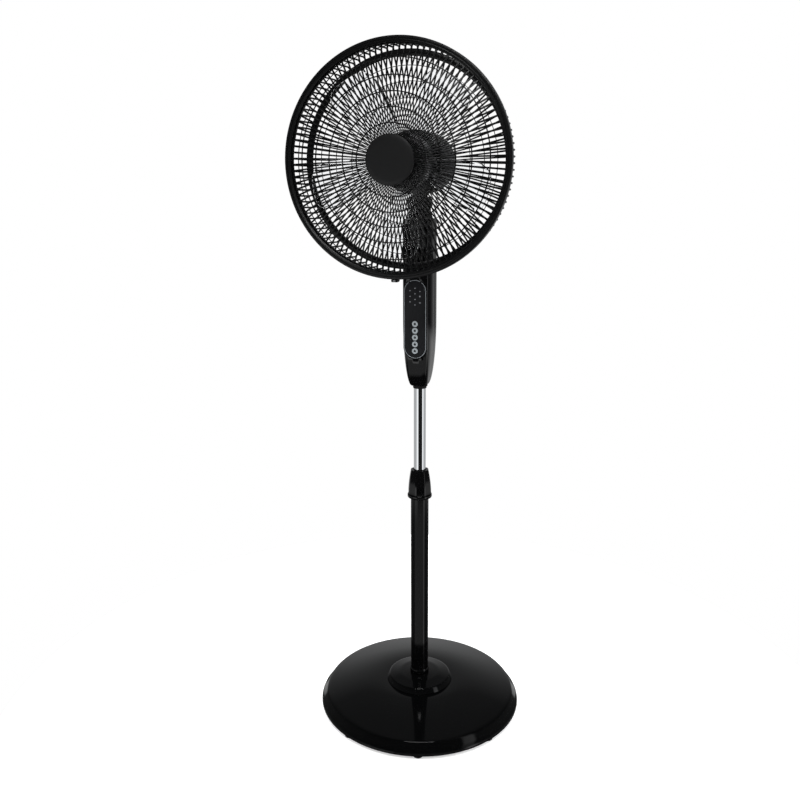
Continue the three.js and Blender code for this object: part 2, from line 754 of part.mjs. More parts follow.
const nosePlate = motorRadius * 0.8;
const frontBearingRear = noseFront - bearingWidth - 2;
add('motor_front_cover', turnedAhead([
  [noseBore, frontBearingRear - fit],
  [noseBore, noseFront],
  [noseRadius, noseFront],
  [noseRadius, motorFront],
  [nosePlate, motorFront],
  [motorRadius, motorFront - 12],
  [motorRadius, motorSplit + fit],
  [motorRadius - motorWall, motorSplit + fit],
  [motorRadius - motorWall, motorFront - 12 - motorWall / 2],
  [nosePlate - motorWall / 2, motorFront - motorWall],
  [shaftRadius + 1, motorFront - motorWall],
  [shaftRadius + 1, frontBearingRear - fit],
]), 0x3c3f43);

// The rear cover is a rounded cup with a boss for the rear bearing and a ring of vent slots.
const rearBearingRear = -34;
const bossRadius = bearingRadius + fit + 3;
const domeStart = motorRear - 22;
function motorRearCover() {
  const steps = 3;
  const dome = (radius, rear) => Array.from({ length: steps + 1 }, (_, i) => {
    const turn = i / steps * Math.PI / 2;
    const width = radius - bossRadius - 4;
    return [bossRadius + 4 + width * Math.cos(turn), -domeStart - (rear - domeStart) * Math.sin(turn)];
  });
  return turnedAhead([
    [0, -motorRear + motorWall],
    [bearingRadius + fit, -motorRear + motorWall],
    [bearingRadius + fit, rearBearingRear + bearingWidth],
    [bossRadius, rearBearingRear + bearingWidth],
    [bossRadius, -motorRear + motorWall],
    ...dome(motorRadius - motorWall, motorRear - motorWall).reverse(),
    [motorRadius - motorWall, motorSplit],
    [motorRadius, motorSplit],
    ...dome(motorRadius, motorRear),
    [0, -motorRear],
  ]);
}

function ventSlots(count, fromRadius, toRadius, width) {
  return Array.from({ length: count }, (_, i) => {
    const opening = box(-width / 2, width / 2, motorRear - 30, motorRear + 5, fromRadius, toRadius);
    return opening.rotateY(i * 2 * Math.PI / count).translate(0, 0, axisHeight);
  });
}
add('motor_rear_cover', cut(motorRearCover(), ...ventSlots(8, 26, 46, 5)), 0x3c3f43);

const statorFront = rotorLength / 2 + 2 + motorSplit / 2;
const statorBore = rotorRadius + windingGap;
const stator = tubeAhead(statorRadius, statorBore, statorFront - statorLength, statorFront, 24);
add('stator', stator, 0x8a6a4a, metal);
const rotorFront = statorFront - 2;
const rotor = tubeAhead(rotorRadius, shaftRadius + fit, rotorFront - rotorLength, rotorFront, 24);
add('rotor', rotor, 0x8b8e92, metal);
add('motor_shaft', discAhead(shaftRadius, -shaftRear, shaftFront, smallSides), steel, metal);
const bearing = (rear) => {
  return tubeAhead(bearingRadius, shaftRadius + fit, rear, rear + bearingWidth, smallSides);
};
add('front_bearing', bearing(frontBearingRear), steel, metal);
add('rear_bearing', bearing(rearBearingRear), steel, metal);

// ---- fan head: grilles ----
// Distance ahead of the pole that the middle of each grille's wires has at a radius from the fan's axis.
function frontReach(radius) {
  const share = Math.min(1, radius / grilleInner);
  return grilleSplit + ribDepth / 2 + frontDome * (1 - share ** 4) + 1.5;
}

function rearReach(radius) {
  const plateMiddle = rearPlateFront - rearPlateThickness / 2;
  const bandMiddle = rearRingFront - rearRingThickness / 2;
  const share = Math.max(0, (radius - rearPlateRadius) / (bandInner - rearPlateRadius));
  return plateMiddle + (bandMiddle - plateMiddle) * Math.min(1, share) ** 1.6;
}

// One wire along a list of points, each a radius and a distance ahead, with a square section.
function rib(path, turn) {
  const steps = path.length - 1;
  const bar = new THREE.BoxGeometry(ribWidth, 1, ribDepth, 1, steps, 1);
  reshape(bar, (point) => {
    const step = Math.round((point.y + 0.5) * steps);
    const [radius, ahead] = path[step];
    const [radiusBefore, aheadBefore] = path[Math.max(0, step - 1)];
    const [radiusAfter, aheadAfter] = path[Math.min(steps, step + 1)];
    const slope = Math.atan2(aheadAfter - aheadBefore, radiusAfter - radiusBefore);
    const lift = point.z;
    point.set(point.x, -(ahead + lift * Math.cos(slope)), radius - lift * Math.sin(slope));
  });
  return bar.rotateY(turn).translate(0, 0, axisHeight);
}

// A ring of wire at a radius, sunk into the ribs so that they join.
function hoop(reach, radius, width, depth) {
  const ahead = reach(radius);
  return tubeAhead(radius + width / 2, radius - width / 2, ahead - depth / 2, ahead + depth / 2, ribCount);
}

function grille(reach, path, extras) {
  const turns = Array.from({ length: ribCount }, (_, i) => (i + 0.5) * 2 * Math.PI / ribCount);
  const ribs = turns.map((turn) => rib(path, turn));
  const hoops = hoopRadii.map((radius) => hoop(reach, radius, ribWidth, ribDepth - 0.8));
  return join(...extras, ...hoops, ...ribs);
}

const frontSeat = tubeAhead(grilleOuter, grilleInner, grilleSplit + fit / 2, frontRingFront, largeSides);
const capSeatReach = frontReach(capRadius);
const capSeat = discAhead(capRadius - 1, capSeatReach - 3.5, capSeatReach);
const steepRadius = (hoopRadii[1] + grilleInner) / 2;
const frontRadii = [capRadius - 4, ...hoopRadii, steepRadius, ribEnd];
const frontPath = frontRadii.map((radius) => [radius, frontReach(radius)]);
add('front_grille', grille(frontReach, frontPath, [frontSeat, capSeat]), darkGrey);

const rearSeat = tubeAhead(grilleOuter, grilleInner, rearRingSeatRear, grilleSplit - fit / 2, largeSides);
const bandRear = rearRingFront - rearRingThickness;
const rearBand = tubeAhead(bandOuter, bandInner, bandRear, rearRingFront, largeSides);
const rearPlate = tubeAhead(rearPlateRadius + 2, noseRadius + fit, motorFront + fit, rearPlateFront);
const rearPath = [rearPlateRadius - 4, ...hoopRadii, bandInner, bandOuter].map((radius) => {
  return [radius, rearReach(radius)];
});
rearPath.push([rearWallRadius + 2.3, rearReach(bandOuter) + rearShoulderDepth]);
rearPath.push([rearWallRadius, (rearRingSeatRear + grilleSplit) / 2]);
add('rear_grille', grille(rearReach, rearPath, [rearSeat, rearBand, rearPlate]), darkGrey);

const nutRear = rearPlateFront + fit;
add('grille_nut', tubeAhead(nutRadius, noseRadius + fit, nutRear, nutRear + nutThickness, 16), softBlack);

const capRear = capSeatReach + ribDepth / 2 + fit;
add('front_cap', turnedAhead([
  [0, capRear],
  [capRadius, capRear],
  [capRadius, capRear + capThickness - 2],
  [capRadius * 0.93, capRear + capThickness - 0.6],
  [capRadius * 0.6, capRear + capThickness],
  [0, capRear + capThickness + 0.4],
]), 0x3a3c3f);

add('rim_ring', turnedAhead([
  [rimBore, rimRear + rimLip],
  [rimBore - rimSeat * 0.4, rimRear + rimLip],
  [rimBore - rimSeat * 0.4, rimRear],
  [rimRadius - 1, rimRear],
  [rimRadius, rimRear + 1],
  [rimRadius, rimFront - 1],
  [rimRadius - 1, rimFront],
  [rimBore - rimSeat * 0.4, rimFront],
  [rimBore - rimSeat * 0.4, rimFront - rimLip],
  [rimBore, rimFront - rimLip],
], largeSides), darkGrey);

const clipTop = axisHeight - rimRadius - fit;
const clipBox = box(-7, 7, -rimFront + 2, -rimRear - 2, clipTop - 5, clipTop);
add('rim_clip', cut(clipBox, rod(1.9, 0, clipTop - 2.5, -rimFront - 5, -rimRear + 5, 12)), softBlack);
const clipScrewHead = rod(2.4, 0, clipTop - 2.5, -rimFront, -rimFront + 2 - fit, 12);
const clipScrewShank = rod(1.6, 0, clipTop - 2.5, -rimFront + 1, -rimRear - 2, 12);
add('rim_screw', join(clipScrewHead, clipScrewShank), steel, metal);

// ---- fan head: blades ----
// One blade: a thin sheet that is wrapped round the axis, twisted along its chord and raked forwards.
function blade(turn) {
  const sheet = new THREE.BoxGeometry(1, 1, bladeThickness, 4, 4, 1);
  const rootRadius = hubRadius - 1.5;
  const middleDepth = (hubFront + hubRear) / 2;
  reshape(sheet, (point) => {
    const along = point.x + 0.5;
    const across = point.y;
    const radius = rootRadius + (bladeTipRadius - rootRadius) * along;
    const cornering = along > 0.99 ? 1 - 0.12 * Math.abs(across) * 2 : 1;
    const span = bladeRootSpan + (bladeTipSpan - bladeRootSpan) * along;
    const twist = bladeRootTwist + (bladeTipTwist - bladeRootTwist) * along;
    const angle = turn + across * span * cornering * Math.PI / 180;
    const ahead = middleDepth + bladeRake * along + across * twist + point.z;
    point.set(radius * Math.cos(angle), -ahead, radius * Math.sin(angle) + axisHeight);
  });
  return sheet;
}

const hub = turnedAhead([
  [shaftRadius + fit, hubRear - 4],
  [10, hubRear - 4],
  [10, hubFront - hubWall],
  [hubRadius - hubWall, hubFront - hubWall],
  [hubRadius - hubWall, hubRear],
  [hubRadius, hubRear],
  [hubRadius, hubFront - 3],
  [hubRadius - 3, hubFront],
  [shaftRadius + fit, hubFront],
]);
const bladeTurn = 2 * Math.PI / bladeCount;
const bladeStart = bladeFirstAngle * Math.PI / 180;
const bladeAngles = Array.from({ length: bladeCount }, (_, i) => bladeStart + i * bladeTurn);
const bladeFinish = { roughness: 0.15, metalness: 0, transparent: true, opacity: 0.45 };
add('fan_blade', join(hub, ...bladeAngles.map(blade)), 0x8c9296, bladeFinish);

const spinnerRear = hubFront + fit;
add('blade_nut', turnedAhead([
  [0, shaftFront + 1],
  [shaftRadius + fit, shaftFront + 1],
  [shaftRadius + fit, spinnerRear],
  [spinnerRadius, spinnerRear],
  [spinnerRadius - 2, spinnerFront - 4],
  [spinnerRadius * 0.5, spinnerFront],
  [0, spinnerFront],
], 24), softBlack);

export default fan;
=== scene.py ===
import json
import math

import bmesh
import bpy
from mathutils import Matrix, Vector


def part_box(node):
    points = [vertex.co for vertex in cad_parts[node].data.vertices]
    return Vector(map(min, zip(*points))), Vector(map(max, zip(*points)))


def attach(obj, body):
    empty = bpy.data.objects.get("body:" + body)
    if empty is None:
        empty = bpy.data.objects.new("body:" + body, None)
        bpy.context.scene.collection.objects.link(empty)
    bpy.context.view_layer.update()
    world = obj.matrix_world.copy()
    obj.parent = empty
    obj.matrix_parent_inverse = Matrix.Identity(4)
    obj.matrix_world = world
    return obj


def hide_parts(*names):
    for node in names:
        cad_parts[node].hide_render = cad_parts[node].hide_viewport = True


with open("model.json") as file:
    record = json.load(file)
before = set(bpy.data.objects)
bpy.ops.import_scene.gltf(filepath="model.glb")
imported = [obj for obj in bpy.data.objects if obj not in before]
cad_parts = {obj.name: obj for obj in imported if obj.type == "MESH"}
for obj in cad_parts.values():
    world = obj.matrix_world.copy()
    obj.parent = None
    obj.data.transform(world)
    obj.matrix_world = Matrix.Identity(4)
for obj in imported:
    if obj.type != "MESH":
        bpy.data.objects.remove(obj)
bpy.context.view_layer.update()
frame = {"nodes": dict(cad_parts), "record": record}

scene = bpy.context.scene
mm = 0.001  # every size below is in millimetres until a piece is finished
weldDistance = 0.0005
fullTurn = 2 * math.pi


def corners(node):
    lowest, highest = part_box(node)
    return lowest / mm, highest / mm


axisHeight = sum(corner.z for corner in corners("rim_ring")) / 2  # height of the fan's axis


# helpers that shape a bmesh

def heldOutline(outline, closed, gap=4):
    # a point near each end of a long side keeps that side's shading straight
    following = outline[1:] + outline[:1] if closed else outline[1:]
    held = []
    for (radius, height), (nextRadius, nextHeight) in zip(outline, following):
        held.append((radius, height))
        length = math.hypot(nextRadius - radius, nextHeight - height)
        if length > 3 * gap:
            for share in (gap / length, 1 - gap / length):
                held.append((radius + (nextRadius - radius) * share, height + (nextHeight - height) * share))
    return held if closed else held + outline[-1:]


def outlineEdges(bm, outline, closed):
    points = [bm.verts.new((radius, 0, height)) for radius, height in outline]
    edges = [bm.edges.new(pair) for pair in zip(points, points[1:])]
    if closed:
        edges.append(bm.edges.new((points[-1], points[0])))
    return points + edges


def lathe(bm, outline, steps=96, closed=True):
    geom = outlineEdges(bm, heldOutline(outline, closed), closed)
    bmesh.ops.spin(bm, geom=geom, cent=(0, 0, 0), axis=(0, 0, 1), angle=fullTurn, steps=steps, use_merge=True)
    bmesh.ops.remove_doubles(bm, verts=bm.verts, dist=weldDistance)
    bmesh.ops.recalc_face_normals(bm, faces=bm.faces)


def softenEdges(bm, width, segments=2, angle=30):
    bm.normal_update()
    limit = math.radians(angle)
    sharp = [e for e in bm.edges if len(e.link_faces) == 2 and e.calc_face_angle() > limit]
    bmesh.ops.bevel(bm, geom=sharp, offset=width, offset_type="OFFSET", affect="EDGES",
                    segments=segments, profile=0.5, material=-1, clamp_overlap=True)


def faceForward(bm, height=None):
    # turns a piece made about +Z so that it stands about the fan's axis, with +Z going forwards
    middle = axisHeight if height is None else height
    bm.transform(Matrix.Translation((0, 0, middle)) @ Matrix.Rotation(math.pi / 2, 4, "X"))


def ring(bm, radius, ahead, width, depth, steps=110, sides=6):
    # a thin hoop about +Z with a rounded section
    made = bmesh.ops.create_circle(bm, cap_ends=False, segments=sides, radius=0.5)["verts"]
    place = Matrix.Translation((radius, 0, ahead)) @ Matrix.Rotation(math.pi / 2, 4, "X")
    bmesh.ops.transform(bm, matrix=place @ Matrix.Diagonal((width, depth, 1, 1)), verts=made)
    edges = list({e for v in made for e in v.link_edges})
    bmesh.ops.spin(bm, geom=made + edges, cent=(0, 0, 0), axis=(0, 0, 1), angle=fullTurn, steps=steps,
                   use_merge=True)


def spokes(bm, path, width, depth, count, sides=6, firstTurn=0.5):
    # one bar that follows (radius, ahead) points and widens outwards, copied round +Z
    part = bmesh.new()
    rings = []
    for i, (radius, ahead) in enumerate(path):
        before, after = path[max(i - 1, 0)], path[min(i + 1, len(path) - 1)]
        slope = math.atan2(after[1] - before[1], after[0] - before[0])
        capped = i in (0, len(path) - 1)
        made = bmesh.ops.create_circle(part, cap_ends=capped, segments=sides, radius=0.5)["verts"]
        across = width[0] + (width[1] - width[0]) * min(1, radius / path[-1][0])
        place = (Matrix.Translation((radius, 0, ahead)) @ Matrix.Rotation(-slope, 4, "Y")
                 @ Matrix.Rotation(math.pi / 2, 4, "Y") @ Matrix.Diagonal((depth, across, 1, 1)))
        bmesh.ops.transform(part, matrix=place, verts=made)
        rings.append(list({e for v in made for e in v.link_edges}))
    for near, far in zip(rings, rings[1:]):
        bmesh.ops.bridge_loops(part, edges=near + far)
    bmesh.ops.recalc_face_normals(part, faces=part.faces)
    turn = fullTurn / count
    bmesh.ops.rotate(part, verts=part.verts, cent=(0, 0, 0), matrix=Matrix.Rotation(turn * firstTurn, 3, "Z"))
    geom = part.verts[:] + part.edges[:] + part.faces[:]
    bmesh.ops.spin(part, geom=geom, cent=(0, 0, 0), axis=(0, 0, 1), angle=turn * (count - 1), steps=count - 1,
                   use_duplicate=True)
    addMesh(bm, part)


def addMesh(bm, part):
    # moves one bmesh's faces into another
    held = bpy.data.meshes.new("held")
    part.to_mesh(held)
    part.free()
    bm.from_mesh(held)
    bpy.data.meshes.remove(held)


def finishPiece(bm, name, body, looks, nodes=(), sharpAngle=34):
    bmesh.ops.remove_doubles(bm, verts=bm.verts, dist=weldDistance)
    bmesh.ops.recalc_face_normals(bm, faces=bm.faces)
    bmesh.ops.scale(bm, vec=(mm, mm, mm), verts=bm.verts)
    limit = math.radians(sharpAngle)
    for face in bm.faces:
        face.smooth = True
    for edge in bm.edges:
        edge.smooth = len(edge.link_faces) != 2 or edge.calc_face_angle() < limit
    mesh = bpy.data.meshes.new(name)
    bm.to_mesh(mesh)
    bm.free()
    piece = bpy.data.objects.new(name, mesh)
    scene.collection.objects.link(piece)
    for look in looks if isinstance(looks, list) else [looks]:
        mesh.materials.append(look)
    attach(piece, body)
    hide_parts(*nodes)
    return piece


# finishes

def surfaceGroup():
    # broad smudges and fine grain: a colour, a roughness and a height that change over the surface
    tree = bpy.data.node_groups.new("surfaceGrain", "ShaderNodeTree")
    sockets = [("Tone", "NodeSocketColor"), ("Shade", "NodeSocketColor"), ("Smudge Scale", "NodeSocketFloat"),
               ("Grain Scale", "NodeSocketFloat"), ("Low", "NodeSocketFloat"), ("High", "NodeSocketFloat"),
               ("Stretch", "NodeSocketVector")]
    for label, kind in sockets:
        tree.interface.new_socket(name=label, in_out="INPUT", socket_type=kind)
    for label, kind in [("Color", "NodeSocketColor"), ("Roughness", "NodeSocketFloat"),
                        ("Height", "NodeSocketFloat")]:
        tree.interface.new_socket(name=label, in_out="OUTPUT", socket_type=kind)
    nodes, links = tree.nodes, tree.links
    entry = nodes.new("NodeGroupInput")
    leave = nodes.new("NodeGroupOutput")
    coords = nodes.new("ShaderNodeTexCoord")
    scaled = nodes.new("ShaderNodeVectorMath")
    scaled.operation = "MULTIPLY"
    links.new(coords.outputs["Object"], scaled.inputs[0])
    links.new(entry.outputs["Stretch"], scaled.inputs[1])
    smudge = nodes.new("ShaderNodeTexNoise")
    smudge.inputs["Detail"].default_value = 3
    grain = nodes.new("ShaderNodeTexNoise")
    grain.inputs["Detail"].default_value = 2
    for texture, label in ((smudge, "Smudge Scale"), (grain, "Grain Scale")):
        links.new(scaled.outputs["Vector"], texture.inputs["Vector"])
        links.new(entry.outputs[label], texture.inputs["Scale"])
    level = nodes.new("ShaderNodeMapRange")
    level.inputs["From Min"].default_value = 0.3
    level.inputs["From Max"].default_value = 0.7
    links.new(smudge.outputs["Fac"], level.inputs["Value"])
    links.new(entry.outputs["Low"], level.inputs["To Min"])
    links.new(entry.outputs["High"], level.inputs["To Max"])
    blend = nodes.new("ShaderNodeMix")
    blend.data_type = "RGBA"
    links.new(grain.outputs["Fac"], blend.inputs["Factor"])
    links.new(entry.outputs["Tone"], blend.inputs["A"])
    links.new(entry.outputs["Shade"], blend.inputs["B"])
    links.new(blend.outputs["Result"], leave.inputs["Color"])
    links.new(level.outputs["Result"], leave.inputs["Roughness"])
    links.new(grain.outputs["Fac"], leave.inputs["Height"])
    return tree


surfaceGrain = surfaceGroup()


def makeLook(name, tone, shade=None, rough=(0.3, 0.4), smudge=9, grain=700, bump=0.00002, stretch=(1, 1, 1),
             **plain):
    look = bpy.data.materials.new(name)
    look.use_nodes = True
    nodes, links = look.node_tree.nodes, look.node_tree.links
    shader = nodes["Principled BSDF"]
    surface = nodes.new("ShaderNodeGroup")
    surface.node_tree = surfaceGrain
    darker = shade or tuple(channel * 0.7 for channel in tone)
    given = {"Tone": (*tone, 1), "Shade": (*darker, 1), "Smudge Scale": smudge, "Grain Scale": grain,
             "Low": rough[0], "High": rough[1], "Stretch": stretch}
    for label, value in given.items():
        surface.inputs[label].default_value = value
    relief = nodes.new("ShaderNodeBump")
    relief.inputs["Distance"].default_value = bump
    links.new(surface.outputs["Color"], shader.inputs["Base Color"])
    links.new(surface.outputs["Roughness"], shader.inputs["Roughness"])
    links.new(surface.outputs["Height"], relief.inputs["Height"])
    links.new(relief.outputs["Normal"], shader.inputs["Normal"])
    for label, value in plain.items():
        shader.inputs[label.replace("_", " ")].default_value = value
    return look


looks = {
    "base_gloss": makeLook("glossBlackBase", (0.0012, 0.0013, 0.0014), rough=(0.05, 0.09), smudge=6,
                           grain=260, bump=0.000002, Coat_Weight=0.3, Coat_Roughness=0.03),
    "housing_gloss": makeLook("glossBlackHousing", (0.0012, 0.0012, 0.0014), rough=(0.04, 0.08), smudge=14,
                              grain=320, bump=0.000001, Coat_Weight=0.3, Coat_Roughness=0.03),
    "pole_black": makeLook("enamelBlackPole", (0.0012, 0.0012, 0.0014), rough=(0.06, 0.11), smudge=12,
                           grain=420, bump=0.000001, stretch=(1, 1, 0.15)),
    "pole_chrome": makeLook("polishedChrome", (0.86, 0.88, 0.89), (0.82, 0.84, 0.86), rough=(0.03, 0.07),
                            smudge=10, grain=300, bump=0.0000002, stretch=(1, 1, 0.05), Metallic=1.0),
    "grille_grey": makeLook("satinBlackCage", (0.0025, 0.0026, 0.0028), rough=(0.24, 0.34), smudge=20,
                            grain=1400, bump=0.00002),
    "cap_grey": makeLook("satinGreyCap", (0.0045, 0.0046, 0.0049), (0.0035, 0.0036, 0.0039),
                         rough=(0.36, 0.44), smudge=18, grain=1800, bump=0.00002),
    "soft_black": makeLook("mouldedBlack", (0.004, 0.004, 0.0043), rough=(0.38, 0.52), smudge=25, grain=1300,
                           bump=0.00003),
    "panel_matt": makeLook("mattPanel", (0.0045, 0.005, 0.0072), (0.004, 0.0045, 0.0064), rough=(0.5, 0.62),
                           smudge=30, grain=2600, bump=0.00001),
    "panel_silver": makeLook("satinSilver", (0.3, 0.32, 0.34), (0.26, 0.28, 0.3), rough=(0.26, 0.38),
                             smudge=30, grain=1600, bump=0.00001, Metallic=0.35),
    "button_silver": makeLook("buttonSilver", (0.36, 0.39, 0.41), (0.3, 0.33, 0.35), rough=(0.3, 0.42),
                              smudge=60, grain=1800, bump=0.00001, Metallic=0.3),
    "motor_grey": makeLook("mouldedGrey", (0.008, 0.0083, 0.009), rough=(0.4, 0.55), smudge=22, grain=1200,
                           bump=0.00004),
    "rubber": makeLook("footRubber", (0.008, 0.008, 0.008), rough=(0.7, 0.85), smudge=40, grain=900,
                       bump=0.00006),
    "weight_iron": makeLook("castIron", (0.08, 0.078, 0.075), (0.04, 0.039, 0.037), rough=(0.55, 0.75),
                            smudge=18, grain=420, bump=0.0003, Metallic=0.8),
    "steel": makeLook("zincSteel", (0.55, 0.56, 0.57), (0.46, 0.47, 0.49), rough=(0.25, 0.4), smudge=60,
                      grain=1500, bump=0.00002, Metallic=1.0),
    "motor_iron": makeLook("laminatedIron", (0.34, 0.33, 0.32), (0.2, 0.19, 0.18), rough=(0.35, 0.5),
                           smudge=40, grain=900, bump=0.0001, stretch=(0.3, 6, 0.3), Metallic=1.0),
    "board_green": makeLook("boardGreen", (0.012, 0.07, 0.03), (0.01, 0.05, 0.022), rough=(0.35, 0.5),
                            smudge=60, grain=700, bump=0.00002),
    "guide_milky": makeLook("milkyGuide", (0.62, 0.64, 0.66), rough=(0.3, 0.42), smudge=40, grain=700,
                            bump=0.00001),
    "gear_natural": makeLook("naturalNylon", (0.62, 0.6, 0.55), (0.54, 0.52, 0.47), rough=(0.35, 0.5),
                             smudge=50, grain=900, bump=0.00002),
}
looks["blade_clear"] = makeLook("clearSmokeBlade", (0.955, 0.965, 0.975), (0.94, 0.95, 0.965),
                                rough=(0.0, 0.02),
                                smudge=14, grain=40, bump=0.0000002, IOR=1.32, Transmission_Weight=1.0)
darkMark = makeLook("darkMark", (0.02, 0.022, 0.025), rough=(0.4, 0.55), smudge=80, grain=1500, bump=0.00001)
paleMark = makeLook("paleMark", (0.3, 0.31, 0.33), (0.26, 0.27, 0.29), rough=(0.4, 0.5), smudge=80,
                    grain=1500, bump=0.00001)
hubBlack = makeLook("hubBlack", (0.0015, 0.0015, 0.0018), rough=(0.16, 0.26), smudge=20, grain=900,
                    bump=0.00001)
darkSteel = makeLook("darkenedSteel", (0.03, 0.03, 0.032), rough=(0.3, 0.45), smudge=60, grain=1500,
                     bump=0.00002, Metallic=1.0)
print("finishes made")


# base

baseSettings = {"steps": 168, "wall": 3, "ridgeInset": 13, "ridgeHeight": 31, "seatRadius": 73, "skirt": 6,
                "domeSteps": 16, "rounding": 1.4}


def makeBase():
    s = baseSettings
    low, high = corners("base_cover")
    poleRadius = corners("outer_pole")[1].x
    ridge = high.x - s["ridgeInset"]
    bore = poleRadius + 1

    def dome(drop):
        rows = []
        for i in range(s["domeSteps"] + 1):
            share = i / s["domeSteps"]
            rise = (high.z - s["ridgeHeight"]) * math.sin(share * math.pi / 2)
            rows.append((ridge + (s["seatRadius"] - ridge) * share, s["ridgeHeight"] + rise - drop))
        return rows
    wall = s["wall"]
    skirtTop = low.z + s["skirt"]
    outline = [(high.x, low.z), (high.x, skirtTop), (high.x - 3, skirtTop + 3.2), *dome(0), (bore, high.z),
               (bore, high.z - wall), *reversed(dome(wall)), (high.x - 3 - wall, skirtTop + 1.5),
               (high.x - wall, skirtTop - 1), (high.x - wall, low.z)]
    bm = bmesh.new()
    lathe(bm, outline, s["steps"])
    softenEdges(bm, s["rounding"], 3, 20)
    finishPiece(bm, "baseShell", "base", looks["base_gloss"], ["base_cover"])


flangeSettings = {"topInset": 6, "wall": 2.6, "rounding": 3.6, "steps": 144, "crown": 4.5}


def makeFlange():
    s = flangeSettings
    low, high = corners("pole_flange")
    bore = corners("outer_pole")[1].x + 0.3
    top = high.z - s["crown"]
    edge = high.x - s["topInset"]
    middle = (edge + bore) / 2
    outline = [(high.x, low.z), (edge, top), (middle, high.z - 1.1), (bore, high.z),
               (bore, high.z - s["wall"]), (edge - 1.5, top - s["wall"]), (high.x - s["wall"] - 1, low.z)]
    bm = bmesh.new()
    lathe(bm, outline, s["steps"])
    softenEdges(bm, s["rounding"], 4, 25)
    finishPiece(bm, "poleFlange", "base", looks["base_gloss"], ["pole_flange"])


footRingSettings = {"rounding": 0.7, "steps": 96}


def makeFootRing():
    low, high = corners("pole_foot_ring")
    bore = corners("outer_pole")[1].x + 0.15
    outline = [(bore, low.z), (bore + 0.5, low.z), (high.x - 0.3, low.z + 3), (high.x - 0.3, high.z - 3.5),
               (bore + 0.4, high.z), (bore, high.z)]
    bm = bmesh.new()
    lathe(bm, outline, footRingSettings["steps"])
    softenEdges(bm, footRingSettings["rounding"], 2, 20)
    finishPiece(bm, "poleFootRing", "base", looks["base_gloss"], ["pole_foot_ring"])


footSettings = {"rounding": 1.1, "steps": 32}


def makeFeet():
    for i in range(1, 9):
        low, high = corners(f"foot_{i}")
        middle = (low + high) / 2
        radius = (high.x - low.x) / 2
        bm = bmesh.new()
        bmesh.ops.create_cone(bm, cap_ends=True, segments=footSettings["steps"], radius1=radius * 0.9,
                              radius2=radius, depth=high.z - low.z)
        bmesh.ops.translate(bm, vec=middle, verts=bm.verts)
        softenEdges(bm, footSettings["rounding"], 2)
        finishPiece(bm, f"rubberFoot{i}", "base", looks["rubber"], [f"foot_{i}"])


underSettings = {"steps": 144, "stiffeners": [60, 110, 165], "ribHalf": 1.5, "ribDrop": 0.9, "rounding": 0.3}


def makeUnderPlate():
    s = underSettings
    low, high = corners("bottom_plate")
    bore = 5.6
    under = [(bore, low.z + s["ribDrop"])]
    for radius in s["stiffeners"]:
        under += [(radius - s["ribHalf"], low.z + s["ribDrop"]), (radius - s["ribHalf"], low.z),
                  (radius + s["ribHalf"], low.z), (radius + s["ribHalf"], low.z + s["ribDrop"])]
    outline = [*under, (high.x - 4, low.z + s["ribDrop"]), (high.x - 3, low.z), (high.x, low.z),
               (high.x, high.z), (bore, high.z)]
    bm = bmesh.new()
    lathe(bm, outline, s["steps"])
    softenEdges(bm, s["rounding"], 1)
    finishPiece(bm, "underPlate", "base", looks["soft_black"], ["bottom_plate"])


# poles

poleSettings = {"steps": 96, "rounding": 0.4}


def makePole(node, name, body, look, wall):
    low, high = corners(node)
    outline = [(high.x - wall, low.z), (high.x, low.z), (high.x, high.z), (high.x - wall, high.z)]
    bm = bmesh.new()
    lathe(bm, outline, poleSettings["steps"])
    softenEdges(bm, poleSettings["rounding"], 2)
    finishPiece(bm, name, body, looks[look], [node])


def loft(bm, rows, segments, place):
    # closed rings, one for each row, joined one after another
    rings = []
    for row in rows:
        made = bmesh.ops.create_circle(bm, cap_ends=False, segments=segments, radius=1)["verts"]
        for vert in made:
            vert.co = place(row, math.atan2(vert.co.y, vert.co.x))
        rings.append(list({e for v in made for e in v.link_edges}))
    for near, far in zip(rings, rings[1:]):
        bmesh.ops.bridge_loops(bm, edges=near + far)
    bmesh.ops.recalc_face_normals(bm, faces=bm.faces)
    return rings


gripSettings = {"facets": 8, "turn": 20, "corner": 1.05, "rim": (25.7, 466, 475.2), "segments": 192,
                "sides": [(23.6, 475.3), (23.6, 483), (23.3, 489), (22.4, 500), (20.7, 513), (18.9, 523),
                          (18.4, 525.6), (17.7, 526.8)],
                "mouthRadius": 13.2, "mouthFloor": 500, "boreTop": 494, "steps": 96}


def gripPoint(row, turn):
    # a row is the distance to the flat sides, the height, and whether the ring is round
    s = gripSettings
    reach, height, isRound = row
    facet = fullTurn / s["facets"]
    offset = (turn - math.radians(s["turn"]) + math.pi / 2 + facet / 2) % facet - facet / 2
    radius = reach if isRound else reach * min(s["corner"], 1 / math.cos(offset))
    return Vector((radius * math.cos(turn), radius * math.sin(turn), height))


def makeGrip():
    s = gripSettings
    poleBore = corners("outer_pole")[1].x + 0.35
    bottom = s["sides"][0][1]
    mouth = s["mouthRadius"]
    rows = [(poleBore, bottom, True), *((reach, height, False) for reach, height in s["sides"]),
            (mouth + 1, s["sides"][-1][1], True), (mouth, s["sides"][-1][1] - 1, True),
            (mouth, s["mouthFloor"], True), (poleBore, s["boreTop"], True)]
    bm = bmesh.new()
    rings = loft(bm, rows, s["segments"], gripPoint)
    bmesh.ops.bridge_loops(bm, edges=rings[0] + rings[-1])
    part = bmesh.new()
    radius, low, high = s["rim"]
    lathe(part, [(poleBore, low), (radius - 1.6, low), (radius, low + 2), (radius, high - 2.4),
                 (radius - 1.6, high), (poleBore, high)], s["steps"])
    softenEdges(part, 0.8, 2, 25)
    addMesh(bm, part)
    finishPiece(bm, "heightGrip", "collar", looks["pole_black"], ["height_collar"], 20)


